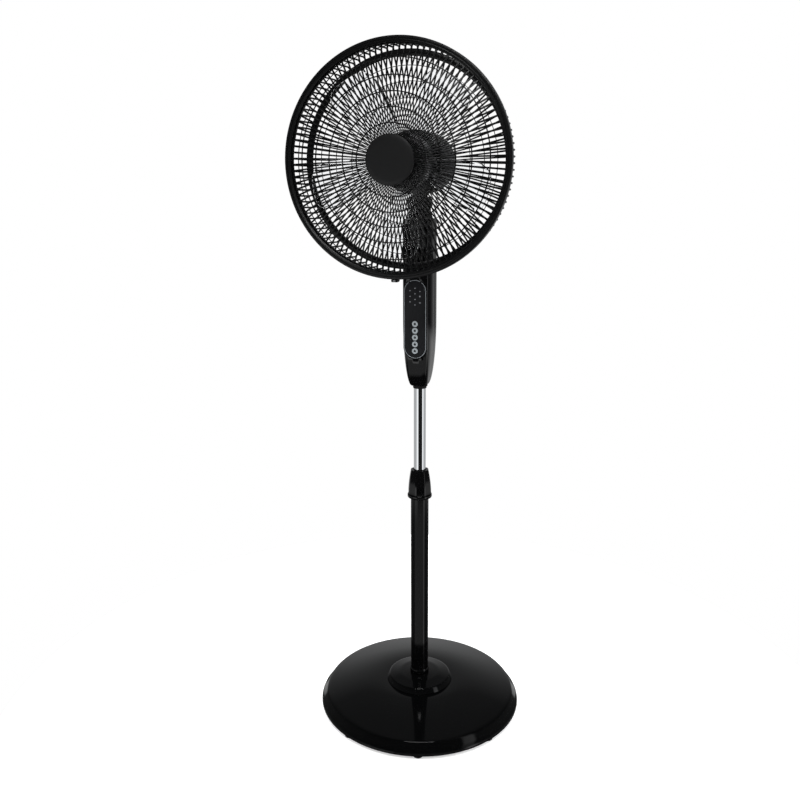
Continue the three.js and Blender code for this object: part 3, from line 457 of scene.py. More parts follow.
makeBase()
makeFlange()
makeFootRing()
makeFeet()
makeUnderPlate()
makePole("outer_pole", "lowerPole", "base", "pole_black", 1.5)
makePole("inner_pole", "chromePole", "mast", "pole_chrome", 1.2)
makeGrip()
print("base and poles made")


# control housing

neckSettings = {"halfWidth": 29.4, "halfDepth": 34.3, "squareness": 5, "taperTop": 850, "taperDepth": 0.53,
                "segments": 144, "wall": 2.4, "seam": 0.1, "mouth": 16.1, "spindleHole": 7,
                "floorSteps": [(0.94, 0), (0.985, 0.7), (1, 2.6)], "taperSteps": 18, "straightSteps": 26,
                "recess": 28.6, "recessMargin": 1.5,
                "topSteps": [(1, 6.0), (0.985, 2.4), (0.955, 0.9), (0.9, 0)]}


neckFoot = corners("neck_front_shell")[0].z


def neckPoint(row, turn):
    # a row is a share of the housing's full outline and a height, or a hole's radius and a height
    s = neckSettings
    share, height = row
    if share > 2:
        return Vector((share * math.cos(turn), share * math.sin(turn), height))
    drop = min(1, max(0, (s["taperTop"] - height) / (s["taperTop"] - neckFoot)))
    width = share * (1 - s["taperDepth"] * (1 - math.sqrt(1 - drop * drop * 0.985)))
    across, along = math.cos(turn), math.sin(turn)
    reach = width * (abs(across) ** s["squareness"] + abs(along) ** s["squareness"]) ** (-1 / s["squareness"])
    return Vector((across * reach * s["halfWidth"], along * reach * s["halfDepth"], height))


def sinkPanelBed(bm, bed, margin):
    # the skin steps back behind the panel
    low, high = corners("control_panel")
    middle = (low.z + high.z) / 2
    half, tall = (high.x - low.x) / 2 - margin, (high.z - low.z) / 2 - margin
    for vert in bm.verts:
        over = max(0, abs(vert.co.z - middle) - (tall - half))
        if math.hypot(vert.co.x, over) < half:
            vert.co.y = max(vert.co.y, -bed)


def makeNeckHalf(name, node, side):
    # the outside skin of one half, cut at the seam and given its wall inwards
    s = neckSettings
    low, high = corners(node)
    rows = [(s["mouth"], low.z), *((share, low.z + lift) for share, lift in s["floorSteps"])]
    start = rows[-1][1]
    for i in range(1, s["taperSteps"] + 1):
        rows.append((1, start + (s["taperTop"] - start) * (i / s["taperSteps"]) ** 1.35))
    crown = high.z - s["topSteps"][0][1]
    for i in range(1, s["straightSteps"]):
        rows.append((1, s["taperTop"] + (crown - s["taperTop"]) * i / s["straightSteps"]))
    rows += [(share, high.z - drop) for share, drop in s["topSteps"]]
    rows.append((s["spindleHole"], high.z))
    bm = bmesh.new()
    loft(bm, rows, s["segments"], neckPoint)
    geom = bm.verts[:] + bm.edges[:] + bm.faces[:]
    bmesh.ops.bisect_plane(bm, geom=geom, plane_co=(0, side * s["seam"], 0), plane_no=(0, -side, 0),
                           clear_outer=True)
    if side < 0:
        sinkPanelBed(bm, s["recess"], s["recessMargin"])
    piece = finishPiece(bm, name, "mast", looks["housing_gloss"], [node], 40)
    wall = piece.modifiers.new("wall", "SOLIDIFY")
    wall.thickness = s["wall"] * mm
    wall.offset = -1
    return piece


panelSettings = {"surround": 3.3, "trimWidth": 1.1, "bed": 6.4, "ledge": 2.2, "edge": 1.5, "rounding": 0.2,
                 "segments": 96, "holeGap": 0.25, "holeSteps": 40}


def stadiumPoint(row, turn):
    # a row is an upright outline's half width, half height and distance ahead
    half, tall, ahead = row
    lift = math.copysign(tall - half, math.sin(turn)) if abs(math.sin(turn)) > 1e-6 else 0
    return Vector((half * math.cos(turn), -ahead, half * math.sin(turn) + lift))


def makeSurround(name, rows, look):
    # an upright closed ring round the panel; a row is a step out from the panel's edge and a distance ahead
    low, high = corners("control_panel")
    half, tall = (high.x - low.x) / 2, (high.z - low.z) / 2
    bm = bmesh.new()
    rings = loft(bm, [(half + step, tall + step, ahead) for step, ahead in rows], panelSettings["segments"],
                 stadiumPoint)
    bmesh.ops.bridge_loops(bm, edges=rings[0] + rings[-1])
    bmesh.ops.translate(bm, vec=(0, 0, (low.z + high.z) / 2), verts=bm.verts)
    return finishPiece(bm, name, "mast", looks[look], ["panel_trim"] if look == "panel_silver" else [])


def makePanelPlate():
    # a flat plate with a round hole for each button
    s = panelSettings
    low, high = corners("control_panel")
    half, tall = (high.x - low.x) / 2 - 0.1, (high.z - low.z) / 2 - 0.1
    bm = bmesh.new()
    rim = bmesh.ops.create_circle(bm, cap_ends=False, segments=s["segments"], radius=1)["verts"]
    for vert in rim:
        vert.co = stadiumPoint((half, tall, -low.y), math.atan2(vert.co.y, vert.co.x))
        vert.co.z += (low.z + high.z) / 2
    for i in range(1, 6):
        buttonLow, buttonHigh = corners(f"button_{i}")
        radius = (buttonHigh.x - buttonLow.x) / 2 + s["holeGap"]
        height = (buttonLow.z + buttonHigh.z) / 2
        for vert in bmesh.ops.create_circle(bm, cap_ends=False, segments=s["holeSteps"],
                                            radius=radius)["verts"]:
            vert.co = (vert.co.x, low.y, vert.co.y + height)
    bmesh.ops.triangle_fill(bm, use_beauty=True, edges=bm.edges[:], normal=(0, -1, 0))
    moved = bmesh.ops.extrude_face_region(bm, geom=bm.faces[:])["geom"]
    bmesh.ops.translate(bm, vec=(0, s["ledge"], 0),
                        verts=[v for v in moved if isinstance(v, bmesh.types.BMVert)])
    bmesh.ops.recalc_face_normals(bm, faces=bm.faces)
    softenEdges(bm, s["rounding"], 2)
    finishPiece(bm, "panelPlate", "mast", looks["panel_matt"], ["control_panel"])


def makePanel():
    s = panelSettings
    face = -corners("control_panel")[0].y
    ledge, trim, surround = face - s["ledge"], s["trimWidth"], s["surround"]
    makeSurround("panelSurround", [(-3, face - s["bed"]), (surround, face - s["bed"]),
                                   (surround, face - 0.4 - s["edge"]),
                                   (surround - s["edge"] * 0.3, face - 0.4 - s["edge"] * 0.4),
                                   (surround - s["edge"], face - 0.4), (0.3, face - 0.4), (0.3, ledge - 0.1),
                                   (-3, ledge - 0.1)], "housing_gloss")
    makeSurround("panelOutline", [(0.05, ledge), (trim, ledge), (trim, face - 0.35),
                                  (trim - 0.2, face - 0.12),
                                  (0.25, face - 0.12), (0.05, face - 0.3)], "panel_silver")
    makePanelPlate()


buttonSettings = {"steps": 48, "rounding": 0.5, "eyeRadius": 0.42, "eyeDepth": 0.35, "depth": 4.6}


def makeButtons():
    s = buttonSettings
    for i in range(1, 6):
        low, high = corners(f"button_{i}")
        middle = (low.z + high.z) / 2
        radius = (high.x - low.x) / 2
        eye = radius * s["eyeRadius"]
        front = -low.y
        rear = max(-high.y, front - s["depth"])
        outline = [(0.01, rear), (radius, rear), (radius, front - 0.5), (radius - 0.5, front),
                   (eye + 0.4, front), (eye, front - s["eyeDepth"]), (0.01, front - s["eyeDepth"])]
        bm = bmesh.new()
        lathe(bm, outline, s["steps"])
        softenEdges(bm, 0.14, 2, 25)
        for face in bm.faces:
            middleOfFace = face.calc_center_median()
            if middleOfFace.xy.length < eye and middleOfFace.z > front - 1:
                face.material_index = 1
        faceForward(bm, middle)
        finishPiece(bm, f"pushButton{i}", f"button_{i}", [looks["button_silver"], darkMark],
                    [f"button_{i}"])


markSettings = {"lift": 0.12, "column": 10.3, "dots": [(-1, 908.4), (-1, 897.0), (-1, 885.9), (0, 913.6),
                (0, 902.4), (0, 891.1), (0, 880.0), (1, 907.4)], "drop": (1, 897.0), "dash": (1, 884.5),
                "dotRadius": 1.1, "dropRadius": 1.35, "dashShare": 0.7, "dashStretch": 2.6}


def makeMarks():
    # plain round lamps, a drop and a dash that stand just proud of the panel
    s = markSettings
    face = -corners("control_panel")[0].y
    bm = bmesh.new()

    def dot(x, z, radius, stretch=1.0):
        part = bmesh.new()
        made = bmesh.ops.create_cone(part, cap_ends=True, segments=24, radius1=radius, radius2=radius * 0.82,
                                     depth=0.5)["verts"]
        for vert in made:
            vert.co.x *= stretch
            vert.co.z += face - 0.25 + s["lift"]
        faceForward(part, z)
        bmesh.ops.translate(part, vec=(x, 0, 0), verts=part.verts)
        addMesh(bm, part)
    for column, height in s["dots"]:
        dot(column * s["column"], height, s["dotRadius"])
    dot(s["dash"][0] * s["column"], s["dash"][1], s["dotRadius"] * s["dashShare"], s["dashStretch"])
    drop = bmesh.new()
    made = bmesh.ops.create_cone(drop, cap_ends=True, segments=32, radius1=s["dropRadius"],
                                 radius2=s["dropRadius"] * 0.85, depth=0.5)["verts"]
    for vert in made:
        if vert.co.y > 0:
            vert.co.x *= 1 - 0.75 * vert.co.y / s["dropRadius"]
            vert.co.y *= 1.9
        vert.co.z += face - 0.25 + s["lift"]
    faceForward(drop, s["drop"][1])
    bmesh.ops.translate(drop, vec=(s["drop"][0] * s["column"], 0, 0), verts=drop.verts)
    addMesh(bm, drop)
    finishPiece(bm, "panelLamps", "mast", paleMark)


glandSettings = {"bore": 3.2, "neck": 5, "steps": 40}


def makeGland():
    s = glandSettings
    low, high = corners("cord_gland")
    middle = (low.z + high.z) / 2
    flange = (high.x - low.x) / 2
    seat = high.y - 3.9
    outline = [(s["bore"], low.y), (s["neck"], low.y), (s["neck"], seat), (flange, seat + 0.3),
               (flange, seat + 1.8),
               (flange - 1.2, seat + 2.6), (s["neck"] + 0.6, seat + 2.6), (s["neck"] + 0.2, high.y),
               (s["bore"], high.y)]
    bm = bmesh.new()
    lathe(bm, outline, s["steps"])
    softenEdges(bm, 0.3, 2)
    bm.transform(Matrix.Translation((0, 0, middle)) @ Matrix.Rotation(-math.pi / 2, 4, "X"))
    finishPiece(bm, "cordGland", "mast", looks["soft_black"], ["cord_gland"])


sleeveSettings = {"wall": 2.7, "rounding": 0.5, "taper": 1.6}


def makeSleeve():
    s = sleeveSettings
    low, high = corners("neck_sleeve")
    slim = high.x - s["taper"]
    outline = [(high.x - s["wall"], low.z), (slim, low.z), (slim, low.z + 3), (high.x, neckFoot + 1),
               (high.x, high.z), (high.x - s["wall"], high.z)]
    bm = bmesh.new()
    lathe(bm, outline, 96)
    softenEdges(bm, s["rounding"], 3, 30)
    finishPiece(bm, "neckSleeve", "mast", looks["soft_black"], ["neck_sleeve"])


makeNeckHalf("neckFront", "neck_front_shell", -1)
makeNeckHalf("neckRear", "neck_rear_shell", 1)
makePanel()
makeButtons()
makeMarks()
makeGland()
makeSleeve()
print("control housing made")


# motor

motorSettings = {"steps": 96, "wall": 2.2, "edge": 9, "domeSteps": 9, "ventFrom": 20, "ventTo": 47,
                 "ventEvery": 4, "bandRows": 5}


def makeMotorRear():
    # a rounded can with rows of slots cut through its back
    s = motorSettings
    low, high = corners("motor_rear_cover")
    radius = high.x
    split, back = low.y, high.y
    outline = [(radius, -split)]
    for i in range(1, s["bandRows"]):
        outline.append((radius - 0.4 * i, -(split + (back - s["edge"] * 2.2 - split) * i / (s["bandRows"] - 1))))
    side, corner = outline[-1]
    for i in range(1, s["domeSteps"] + 1):
        turn = i / s["domeSteps"] * math.pi / 2
        outline.append((side - 16 * (1 - math.cos(turn)), corner + (-back + 3 - corner) * math.sin(turn)))
    edge = outline[-1][0]
    for share in (0.9, 0.75, 0.6, 0.45, 0.3, 0.15):
        outline.append((edge * share, -back + 3 * share))
    outline.append((0.01, -back))
    bm = bmesh.new()
    lathe(bm, outline, s["steps"], closed=False)
    doomed = []
    for face in bm.faces:
        middle = face.calc_center_median()
        column = int((math.atan2(middle.y, middle.x) % fullTurn) / fullTurn * s["steps"])
        vented = s["ventFrom"] < middle.xy.length < s["ventTo"] and middle.z < -back + 12
        if vented and column % s["ventEvery"] == 0:
            doomed.append(face)
    bmesh.ops.delete(bm, geom=doomed, context="FACES")
    faceForward(bm)
    piece = finishPiece(bm, "motorBackCover", "head", looks["motor_grey"],
                        ["motor_rear_cover"], 40)
    wall = piece.modifiers.new("wall", "SOLIDIFY")
    wall.thickness = s["wall"] * mm
    wall.offset = -1


coverSettings = {"halfWidth": 21.2, "halfDepth": 16.6, "squareness": 3.2, "bottom": 1057, "top": 1070.5,
                 "wall": 1.5}


def coverPoint(row, turn):
    s = coverSettings
    share, height = row
    across, along = math.cos(turn), math.sin(turn)
    reach = share * (abs(across) ** s["squareness"] + abs(along) ** s["squareness"]) ** (-1 / s["squareness"])
    return Vector((across * reach * s["halfWidth"], along * reach * s["halfDepth"], height))


def makeSwivelCover():
    # a shroud round the foot of the tilt joint's ears
    s = coverSettings
    rows = [(1.12, s["bottom"]), (1.1, s["bottom"] + 1.5), (1.03, s["bottom"] + 4), (1, s["bottom"] + 7),
            (1, s["top"] - 1), (0.985, s["top"])]
    bm = bmesh.new()
    loft(bm, rows, 72, coverPoint)
    piece = finishPiece(bm, "swivelCover", "swivel", looks["soft_black"])
    wall = piece.modifiers.new("wall", "SOLIDIFY")
    wall.thickness = s["wall"] * mm
    wall.offset = -1


nutSettings = {"steps": 72, "grip": 0.955}


def makeGrilleNut():
    s = nutSettings
    low, high = corners("grille_nut")
    rear, front = -high.y, -low.y
    radius = high.x
    bore = 16
    outline = [(bore, rear), (radius, rear), (radius, front - 1.4), (radius - 3, front), (bore + 2, front),
               (bore, front - 1)]
    bm = bmesh.new()
    lathe(bm, outline, s["steps"])
    for vert in bm.verts:
        column = round((math.atan2(vert.co.y, vert.co.x) % fullTurn) / fullTurn * s["steps"])
        if vert.co.xy.length > radius - 0.1 and column % 4 < 2:
            vert.co.x *= s["grip"]
            vert.co.y *= s["grip"]
    faceForward(bm)
    finishPiece(bm, "cageNut", "head", looks["soft_black"], ["grille_nut"])


makeMotorRear()
makeSwivelCover()
makeGrilleNut()
print("motor made")


# cages

cageSettings = {"ribs": 110, "ribWidth": (1.4, 3.7), "ribDepth": 3.2, "ringWidth": 2.5, "ringDepth": 2.0,
                "edgeAhead": 159.5, "dome": 24, "domeReach": 202, "steepness": 4, "capSeat": 42,
                "seatOuter": 209, "frontRings": [65, 92, 119, 147, 178],
                "frontSteps": [60, 85, 110, 135, 155, 170, 182, 192, 200],
                "rearRings": [88, 118, 147, 174], "plateRadius": 60, "bandInner": 189.5, "bandOuter": 202.5,
                "bandAhead": 92, "bandThickness": 4, "curve": 1.6, "wallRadius": 204.6,
                "shoulder": [(204.6, 93), (206.4, 95.6), (207, 99.5)], "ringSteps": 220}


def frontAhead(radius):
    s = cageSettings
    return s["edgeAhead"] + s["dome"] * (1 - min(1, radius / s["domeReach"]) ** s["steepness"])


def rearAhead(radius):
    s = cageSettings
    plate = -corners("rear_grille")[1].y + 1.5
    share = max(0, (radius - s["plateRadius"]) / (s["bandInner"] - s["plateRadius"]))
    return plate + (s["bandAhead"] - plate) * min(1, share) ** s["curve"]


def makeFrontCage():
    s = cageSettings
    bm = bmesh.new()
    path = [(radius, frontAhead(radius)) for radius in [s["capSeat"], *s["frontSteps"], 205]]
    spokes(bm, [*path, (207.6, 159.4)], s["ribWidth"], s["ribDepth"], s["ribs"])
    for radius in s["frontRings"]:
        ring(bm, radius, frontAhead(radius) - 0.9, s["ringWidth"], s["ringDepth"], s["ringSteps"])
    seat = frontAhead(s["capSeat"])
    for outline in ([(202.6, 156.8), (s["seatOuter"], 156.8), (s["seatOuter"], 158.6), (203.2, 158.6)],
                    [(36, seat - 2.6), (44.6, seat - 2.6), (44.6, seat + 0.6), (43.6, seat + 1.4),
                     (36, seat + 1.4)]):
        part = bmesh.new()
        lathe(part, outline, s["ringSteps"])
        addMesh(bm, part)
    faceForward(bm)
    finishPiece(bm, "frontCage", "head", looks["grille_grey"], ["front_grille"], 50)


def makeRearCage():
    s = cageSettings
    bm = bmesh.new()
    radii = [s["plateRadius"] - 3, 75, 95, 120, 145, 165, 180, s["bandInner"], s["bandOuter"]]
    path = [(radius, rearAhead(radius)) for radius in radii]
    spokes(bm, [*path, *s["shoulder"], (s["wallRadius"], 151.5)], s["ribWidth"], s["ribDepth"], s["ribs"])
    for radius in s["rearRings"]:
        ring(bm, radius, rearAhead(radius) + 0.9, s["ringWidth"] * 0.6, s["ringDepth"], s["ringSteps"])
    ring(bm, 206.2, 122, 1.8, 2.2, s["ringSteps"])
    plate = rearAhead(0)
    half = s["bandThickness"] / 2
    band = s["bandAhead"]
    motorBore = corners("grille_nut")[1].x * 0.55
    for outline in ([(s["bandInner"], band - half), (s["bandOuter"], band - half),
                     (s["bandOuter"], band + half - 0.6),
                     (s["bandOuter"] - 0.8, band + half), (s["bandInner"] + 0.8, band + half),
                     (s["bandInner"], band + half - 0.6)],
                    [(motorBore, plate - 1.3), (s["plateRadius"], plate - 1.3),
                     (s["plateRadius"], plate + 0.9),
                     (s["plateRadius"] - 1.2, plate + 1.5), (motorBore, plate + 1.5)],
                    [(202.4, 150.2), (s["seatOuter"], 150.2), (s["seatOuter"], 156.2), (202.4, 156.2)]):
        part = bmesh.new()
        lathe(part, outline, s["ringSteps"])
        addMesh(bm, part)
    faceForward(bm)
    finishPiece(bm, "rearCage", "head", looks["grille_grey"], ["rear_grille"], 50)


capSettings = {"steps": 144, "rise": 2.6}


def makeCap():
    s = capSettings
    low, high = corners("front_cap")
    rear, front = -high.y, -low.y
    radius = high.x
    outline = [(0.01, rear), (radius - 1.5, rear), (radius, rear + 0.8), (radius, front - s["rise"]),
               (radius - 0.5, front - s["rise"] + 0.9), (radius - 1.6, front - s["rise"] + 1.4)]
    for share in (0.8, 0.6, 0.4, 0.2):
        outline.append((radius * share, front - 1.3 * share ** 2))
    outline.append((0.01, front))
    bm = bmesh.new()
    lathe(bm, outline, s["steps"])
    faceForward(bm)
    finishPiece(bm, "domedCap", "head", looks["cap_grey"], ["front_cap"])


rimSettings = {"steps": 220, "lip": 203.6, "bore": 209.4, "lipGroove": 209.3}


def makeRim():
    s = rimSettings
    low, high = corners("rim_ring")
    radius = high.x
    rear, front = -high.y, -low.y
    groove = s["lipGroove"]
    outline = [(radius - 0.8, rear), (radius, rear + 0.8), (radius, front - 1.6), (radius - 0.5, front - 0.5),
               (radius - 1.6, front), (groove + 1.2, front - 0.1), (groove + 0.7, front - 1.5),
               (groove - 0.7, front - 1.5), (groove - 1.1, front - 0.3), (groove - 2.4, front - 0.1),
               (groove - 3.4, front - 0.9), (s["lip"], front - 1.9), (s["lip"], front - 2.8),
               (s["bore"], front - 2.8), (s["bore"], rear + 1.5), (207.1, rear + 1.5), (207.1, rear)]
    bm = bmesh.new()
    lathe(bm, outline, s["steps"])
    faceForward(bm)
    finishPiece(bm, "rimBand", "head", looks["grille_grey"], ["rim_ring"], 28)


clipSettings = {"rounding": 1.2}


def makeClip():
    low, high = corners("rim_clip")
    bm = bmesh.new()
    bmesh.ops.create_cube(bm, size=1)
    for vert in bm.verts:
        vert.co = Vector((low[i] + (vert.co[i] + 0.5) * (high[i] - low[i]) for i in range(3)))
        if vert.co.z < (low.z + high.z) / 2:
            vert.co.x = vert.co.x * 0.86 + (low.x + high.x) / 2 * 0.14
    softenEdges(bm, clipSettings["rounding"], 3)
    finishPiece(bm, "rimClip", "head", looks["soft_black"], ["rim_clip"])


makeFrontCage()
makeRearCage()
makeCap()
makeRim()
makeClip()
print("cages made")


# propeller

bladeSettings = {"count": 5, "root": 50.5, "tip": 178, "rootSpan": 44, "tipSpan": 33, "rootTwist": 34,
                 "tipTwist": 29, "rake": 34, "first": 53, "middle": 101, "thickness": 2.2, "alongSteps": 30,
                 "acrossSteps": 22}


def makeBlades():
    s = bladeSettings
    bm = bmesh.new()
    for i in range(s["count"]):
        start = math.radians(s["first"]) + i * fullTurn / s["count"]
        made = bmesh.ops.create_grid(bm, x_segments=s["alongSteps"], y_segments=s["acrossSteps"],
                                     size=0.5)["verts"]
        for vert in made:
            along, across = vert.co.x + 0.5, vert.co.y
            side = abs(2 * across)
            radius = s["root"] + (s["tip"] - s["root"]) * along
            radius -= 13 * max(0, along - 0.55) / 0.45 * side ** 5
            span = (s["rootSpan"] + (s["tipSpan"] - s["rootSpan"]) * along) * (1 - 0.13 * along ** 14 * side)
            twist = s["rootTwist"] + (s["tipTwist"] - s["rootTwist"]) * along
            turn = start + across * math.radians(span)
            ahead = s["middle"] + s["rake"] * along + across * twist + 5 * (0.25 - across ** 2)
            vert.co = (radius * math.cos(turn), -ahead, radius * math.sin(turn) + axisHeight)
    piece = finishPiece(bm, "clearBlades", "propeller", looks["blade_clear"], ["fan_blade"],
                        60)
    wall = piece.modifiers.new("wall", "SOLIDIFY")
    wall.thickness = s["thickness"] * mm
    wall.offset = 0
    edge = piece.modifiers.new("edge", "BEVEL")
    edge.width = 0.0007
    edge.segments = 3
    edge.limit_method = "ANGLE"


hubSettings = {"steps": 96, "radius": 52, "rear": 80, "front": 122, "wall": 2.5, "bore": 4.3}


def makeHub():
    s = hubSettings
    outline = [(s["bore"], s["rear"] - 4), (10, s["rear"] - 4), (10, s["front"] - s["wall"]),
               (s["radius"] - s["wall"], s["front"] - s["wall"] - 5), (s["radius"] - s["wall"], s["rear"]),
               (s["radius"], s["rear"]), (s["radius"], s["front"] - 10), (s["radius"] - 1, s["front"] - 6),
               (s["radius"] - 3.4, s["front"] - 2.8), (s["radius"] - 7, s["front"] - 1),
               (s["radius"] - 12, s["front"]),
               (22, s["front"]), (20, s["front"] - 1), (s["bore"], s["front"] - 1)]
    bm = bmesh.new()
    lathe(bm, outline, s["steps"])
    faceForward(bm)
    finishPiece(bm, "bladeHub", "propeller", hubBlack, ["fan_blade"], 30)


spinnerSettings = {"steps": 72, "flutes": 12, "grip": 0.93}


def makeSpinner():
    s = spinnerSettings
    low, high = corners("blade_nut")
    rear, front = -high.y, -low.y
    radius = high.x
    bore = 4.3
    outline = [(bore, rear), (radius, rear), (radius, front - 6), (radius - 1.6, front - 3),
               (radius * 0.55, front - 0.8), (0.01, front), (0.01, front - 3), (bore, front - 4)]
    bm = bmesh.new()
    lathe(bm, outline, s["steps"])
    for vert in bm.verts:
        column = round((math.atan2(vert.co.y, vert.co.x) % fullTurn) / fullTurn * s["steps"])
        if vert.co.xy.length > radius * 0.7 and column % (s["steps"] // s["flutes"]) < 2:
            vert.co.x *= s["grip"]
            vert.co.y *= s["grip"]
    faceForward(bm)
    finishPiece(bm, "bladeSpinner", "propeller", looks["soft_black"], ["blade_nut"], 30)


makeBlades()
makeHub()
makeSpinner()
print("propeller made")


# finishes of the pieces that keep their first shape

slotOf = {row["node"]: row["material_slot"] for row in frame["record"]["subparts"]}
for name, node in frame["nodes"].items():
    node.data.materials.clear()
    node.data.materials.append(darkSteel if name in ("tilt_bolt", "tilt_nut") else looks[slotOf[name]])
print("inner pieces finished")


# camera

cameraSettings = {"azimuth": 18.196, "pitch": 10.254, "roll": -0.177, "place": (0.49915, -1.64906, 1.11061),
                  "lens": 38.41, "sensor": 36, "shiftY": -0.0725}


def makeCamera():
    s = cameraSettings
    lens = bpy.data.cameras.new("frontCamera")
    lens.lens = s["lens"]
    lens.sensor_width = s["sensor"]
    lens.shift_y = s["shiftY"]
    lens.clip_start = 0.01
    camera = bpy.data.objects.new("frontCamera", lens)
    scene.collection.objects.link(camera)
    camera.matrix_world = (Matrix.Translation(s["place"]) @ Matrix.Rotation(math.radians(s["azimuth"]), 4,
                                                                            "Z")
                           @ Matrix.Rotation(math.radians(90 - s["pitch"]), 4, "X")
                           @ Matrix.Rotation(math.radians(s["roll"]), 4, "Z"))
    scene.camera = camera


makeCamera()
scene.view_settings.view_transform = "Standard"


# studio: a pale floor, a pale room, and a room of dark and bright panels that only shiny surfaces see

studioSettings = {"floorRadius": 0.9, "horizon": (-11.6, -9.6), "floorEdge": (-22, -19),
                  "underneath": (-35, -31), "underPanels": [(-180, 0.02), (180, 0.02)],
                  "deepPanels": [(-180, 0.05), (-75, 0.05), (-62, 0.28), (50, 0.28), (53, 0.95), (61, 0.95),
                                 (65, 0.05), (180, 0.05)],
                  "lowPanels": [(-180, 0.45), (-66, 0.45), (-64, 1.0), (-30, 1.0), (-28, 0.012), (45, 0.012),
                                (47, 1.0), (73, 1.0), (75, 0.45), (180, 0.45)],
                  "highPanels": [(-180, 0.45), (-158, 0.4), (-140, 0.05), (48, 0.03), (51, 0.75), (62, 0.75),
                                 (65, 0.05), (140, 0.05), (158, 0.4), (180, 0.45)],
                  "highFall": [(-10, 1.0), (14, 0.9), (26, 0.45), (37, 0.16), (90, 0.1)],
                  "lamps": [("topPanel", (0.2, -0.5, 2.6), 1.6, 26),
                            ("leftPanel", (-2.2, -1.2, 1.7), 1.4, 22),
                            ("rightPanel", (2.3, -0.9, 1.6), 1.4, 22)],
                  "strip": {"place": (0.42, -1.45, 2.1), "size": (1.1, 0.16), "power": 5}}


def panelRamp(nodes, links, source, panels, low, high):
    span = nodes.new("ShaderNodeMapRange")
    span.inputs["From Min"].default_value = math.radians(low)
    span.inputs["From Max"].default_value = math.radians(high)
    links.new(source, span.inputs["Value"])
    ramp = nodes.new("ShaderNodeValToRGB")
    elements = ramp.color_ramp.elements
    while len(elements) < len(panels):
        elements.new(0.5)
    for element, (angle, level) in zip(elements, panels):
        element.position = (angle - low) / (high - low)
        element.color = (level, level * 1.005, level * 1.01, 1)
    links.new(span.outputs["Result"], ramp.inputs["Fac"])
    return ramp.outputs["Color"]


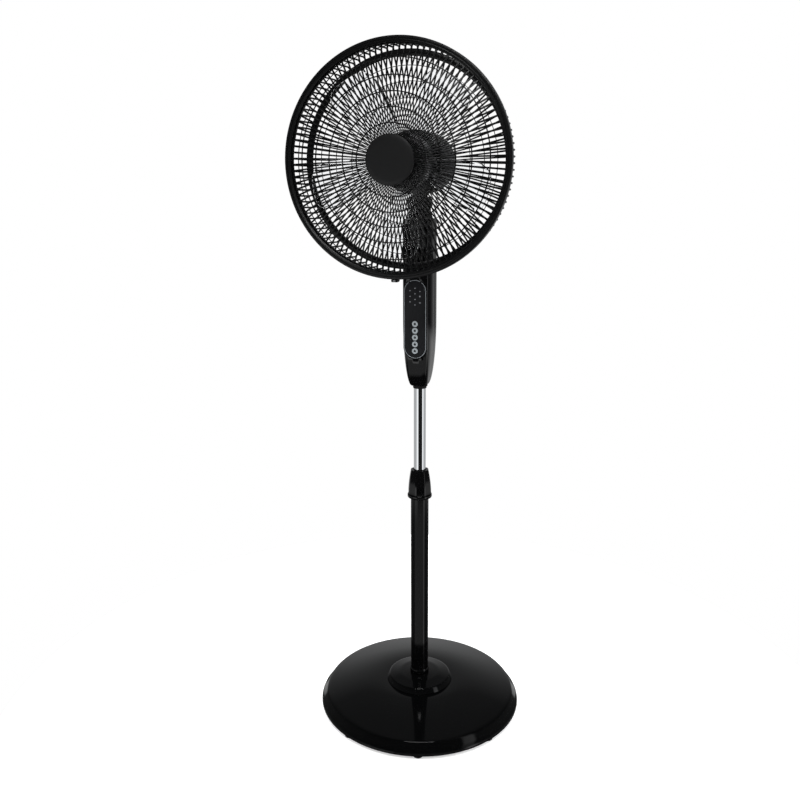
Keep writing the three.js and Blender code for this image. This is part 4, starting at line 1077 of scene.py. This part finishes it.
def makeRoom():
    s = studioSettings
    room = bpy.data.worlds.new("paleRoom")
    room.use_nodes = True
    scene.world = room
    nodes, links = room.node_tree.nodes, room.node_tree.links
    nodes.clear()
    coords = nodes.new("ShaderNodeTexCoord")
    turned = nodes.new("ShaderNodeVectorRotate")
    turned.rotation_type = "Z_AXIS"
    turned.inputs["Angle"].default_value = -math.radians(cameraSettings["azimuth"])
    links.new(coords.outputs["Generated"], turned.inputs["Vector"])
    split = nodes.new("ShaderNodeSeparateXYZ")
    links.new(turned.outputs["Vector"], split.inputs["Vector"])
    nearer = nodes.new("ShaderNodeMath")
    nearer.operation = "MULTIPLY"
    nearer.inputs[1].default_value = -1
    links.new(split.outputs["Y"], nearer.inputs[0])
    around = nodes.new("ShaderNodeMath")
    around.operation = "ARCTAN2"
    links.new(split.outputs["X"], around.inputs[0])
    links.new(nearer.outputs["Value"], around.inputs[1])
    upward = nodes.new("ShaderNodeMath")
    upward.operation = "ARCSINE"
    links.new(split.outputs["Z"], upward.inputs[0])
    levels = {}
    for name in ("underPanels", "deepPanels", "lowPanels", "highPanels"):
        levels[name] = panelRamp(nodes, links, around.outputs["Value"], s[name], -180, 180)
    fall = panelRamp(nodes, links, upward.outputs["Value"], s["highFall"], -90, 90)
    dimmed = nodes.new("ShaderNodeMix")
    dimmed.data_type = "RGBA"
    dimmed.blend_type = "MULTIPLY"
    dimmed.inputs["Factor"].default_value = 1
    links.new(levels["highPanels"], dimmed.inputs["A"])
    links.new(fall, dimmed.inputs["B"])
    levels["highPanels"] = dimmed.outputs["Result"]

    def stack(under, over, edge):
        above = nodes.new("ShaderNodeMapRange")
        above.inputs["From Min"].default_value = math.radians(edge[0])
        above.inputs["From Max"].default_value = math.radians(edge[1])
        links.new(upward.outputs["Value"], above.inputs["Value"])
        layer = nodes.new("ShaderNodeMix")
        layer.data_type = "RGBA"
        links.new(above.outputs["Result"], layer.inputs["Factor"])
        links.new(under, layer.inputs["A"])
        links.new(over, layer.inputs["B"])
        return layer.outputs["Result"]
    deep = stack(levels["underPanels"], levels["deepPanels"], s["underneath"])
    low = stack(deep, levels["lowPanels"], s["floorEdge"])
    seen = stack(low, levels["highPanels"], s["horizon"])
    rays = nodes.new("ShaderNodeLightPath")
    choose = nodes.new("ShaderNodeMix")
    choose.data_type = "RGBA"
    choose.inputs["A"].default_value = (1, 1, 1, 1)
    mirrored = nodes.new("ShaderNodeMath")
    mirrored.operation = "SUBTRACT"
    mirrored.use_clamp = True
    links.new(rays.outputs["Is Glossy Ray"], mirrored.inputs[0])
    links.new(rays.outputs["Is Transmission Ray"], mirrored.inputs[1])
    links.new(mirrored.outputs["Value"], choose.inputs["Factor"])
    links.new(seen, choose.inputs["B"])
    glow = nodes.new("ShaderNodeBackground")
    links.new(choose.outputs["Result"], glow.inputs["Color"])
    leave = nodes.new("ShaderNodeOutputWorld")
    links.new(glow.outputs["Background"], leave.inputs["Surface"])


def makeFloor():
    bm = bmesh.new()
    bmesh.ops.create_circle(bm, cap_ends=True, segments=128, radius=studioSettings["floorRadius"])
    mesh = bpy.data.meshes.new("paleFloor")
    bm.to_mesh(mesh)
    bm.free()
    floor = bpy.data.objects.new("paleFloor", mesh)
    scene.collection.objects.link(floor)
    mesh.materials.append(makeLook("paleFloor", (0.93, 0.93, 0.93), (0.92, 0.92, 0.92), rough=(0.6, 0.7),
                                   Emission_Color=(1, 1, 1, 1), Emission_Strength=0.4))
    floor.visible_glossy = False


def makeLamps():
    for name, place, size, power in studioSettings["lamps"]:
        light = bpy.data.lights.new(name, "AREA")
        light.size = size
        light.energy = power
        lamp = bpy.data.objects.new(name, light)
        scene.collection.objects.link(lamp)
        lamp.location = place
        lamp.rotation_euler = (Vector((0, 0, 0.7)) - Vector(place)).to_track_quat("-Z", "Y").to_euler()
        lamp.visible_glossy = False
    strip = studioSettings["strip"]
    light = bpy.data.lights.new("frontStrip", "AREA")
    light.shape = "RECTANGLE"
    light.size, light.size_y = strip["size"]
    light.energy = strip["power"]
    lamp = bpy.data.objects.new("frontStrip", light)
    scene.collection.objects.link(lamp)
    lamp.location = strip["place"]
    lamp.rotation_euler = (Vector((0, 0, 0.1)) - Vector(strip["place"])).to_track_quat("-Z", "Y").to_euler()


makeRoom()
makeFloor()
makeLamps()
print("studio made")
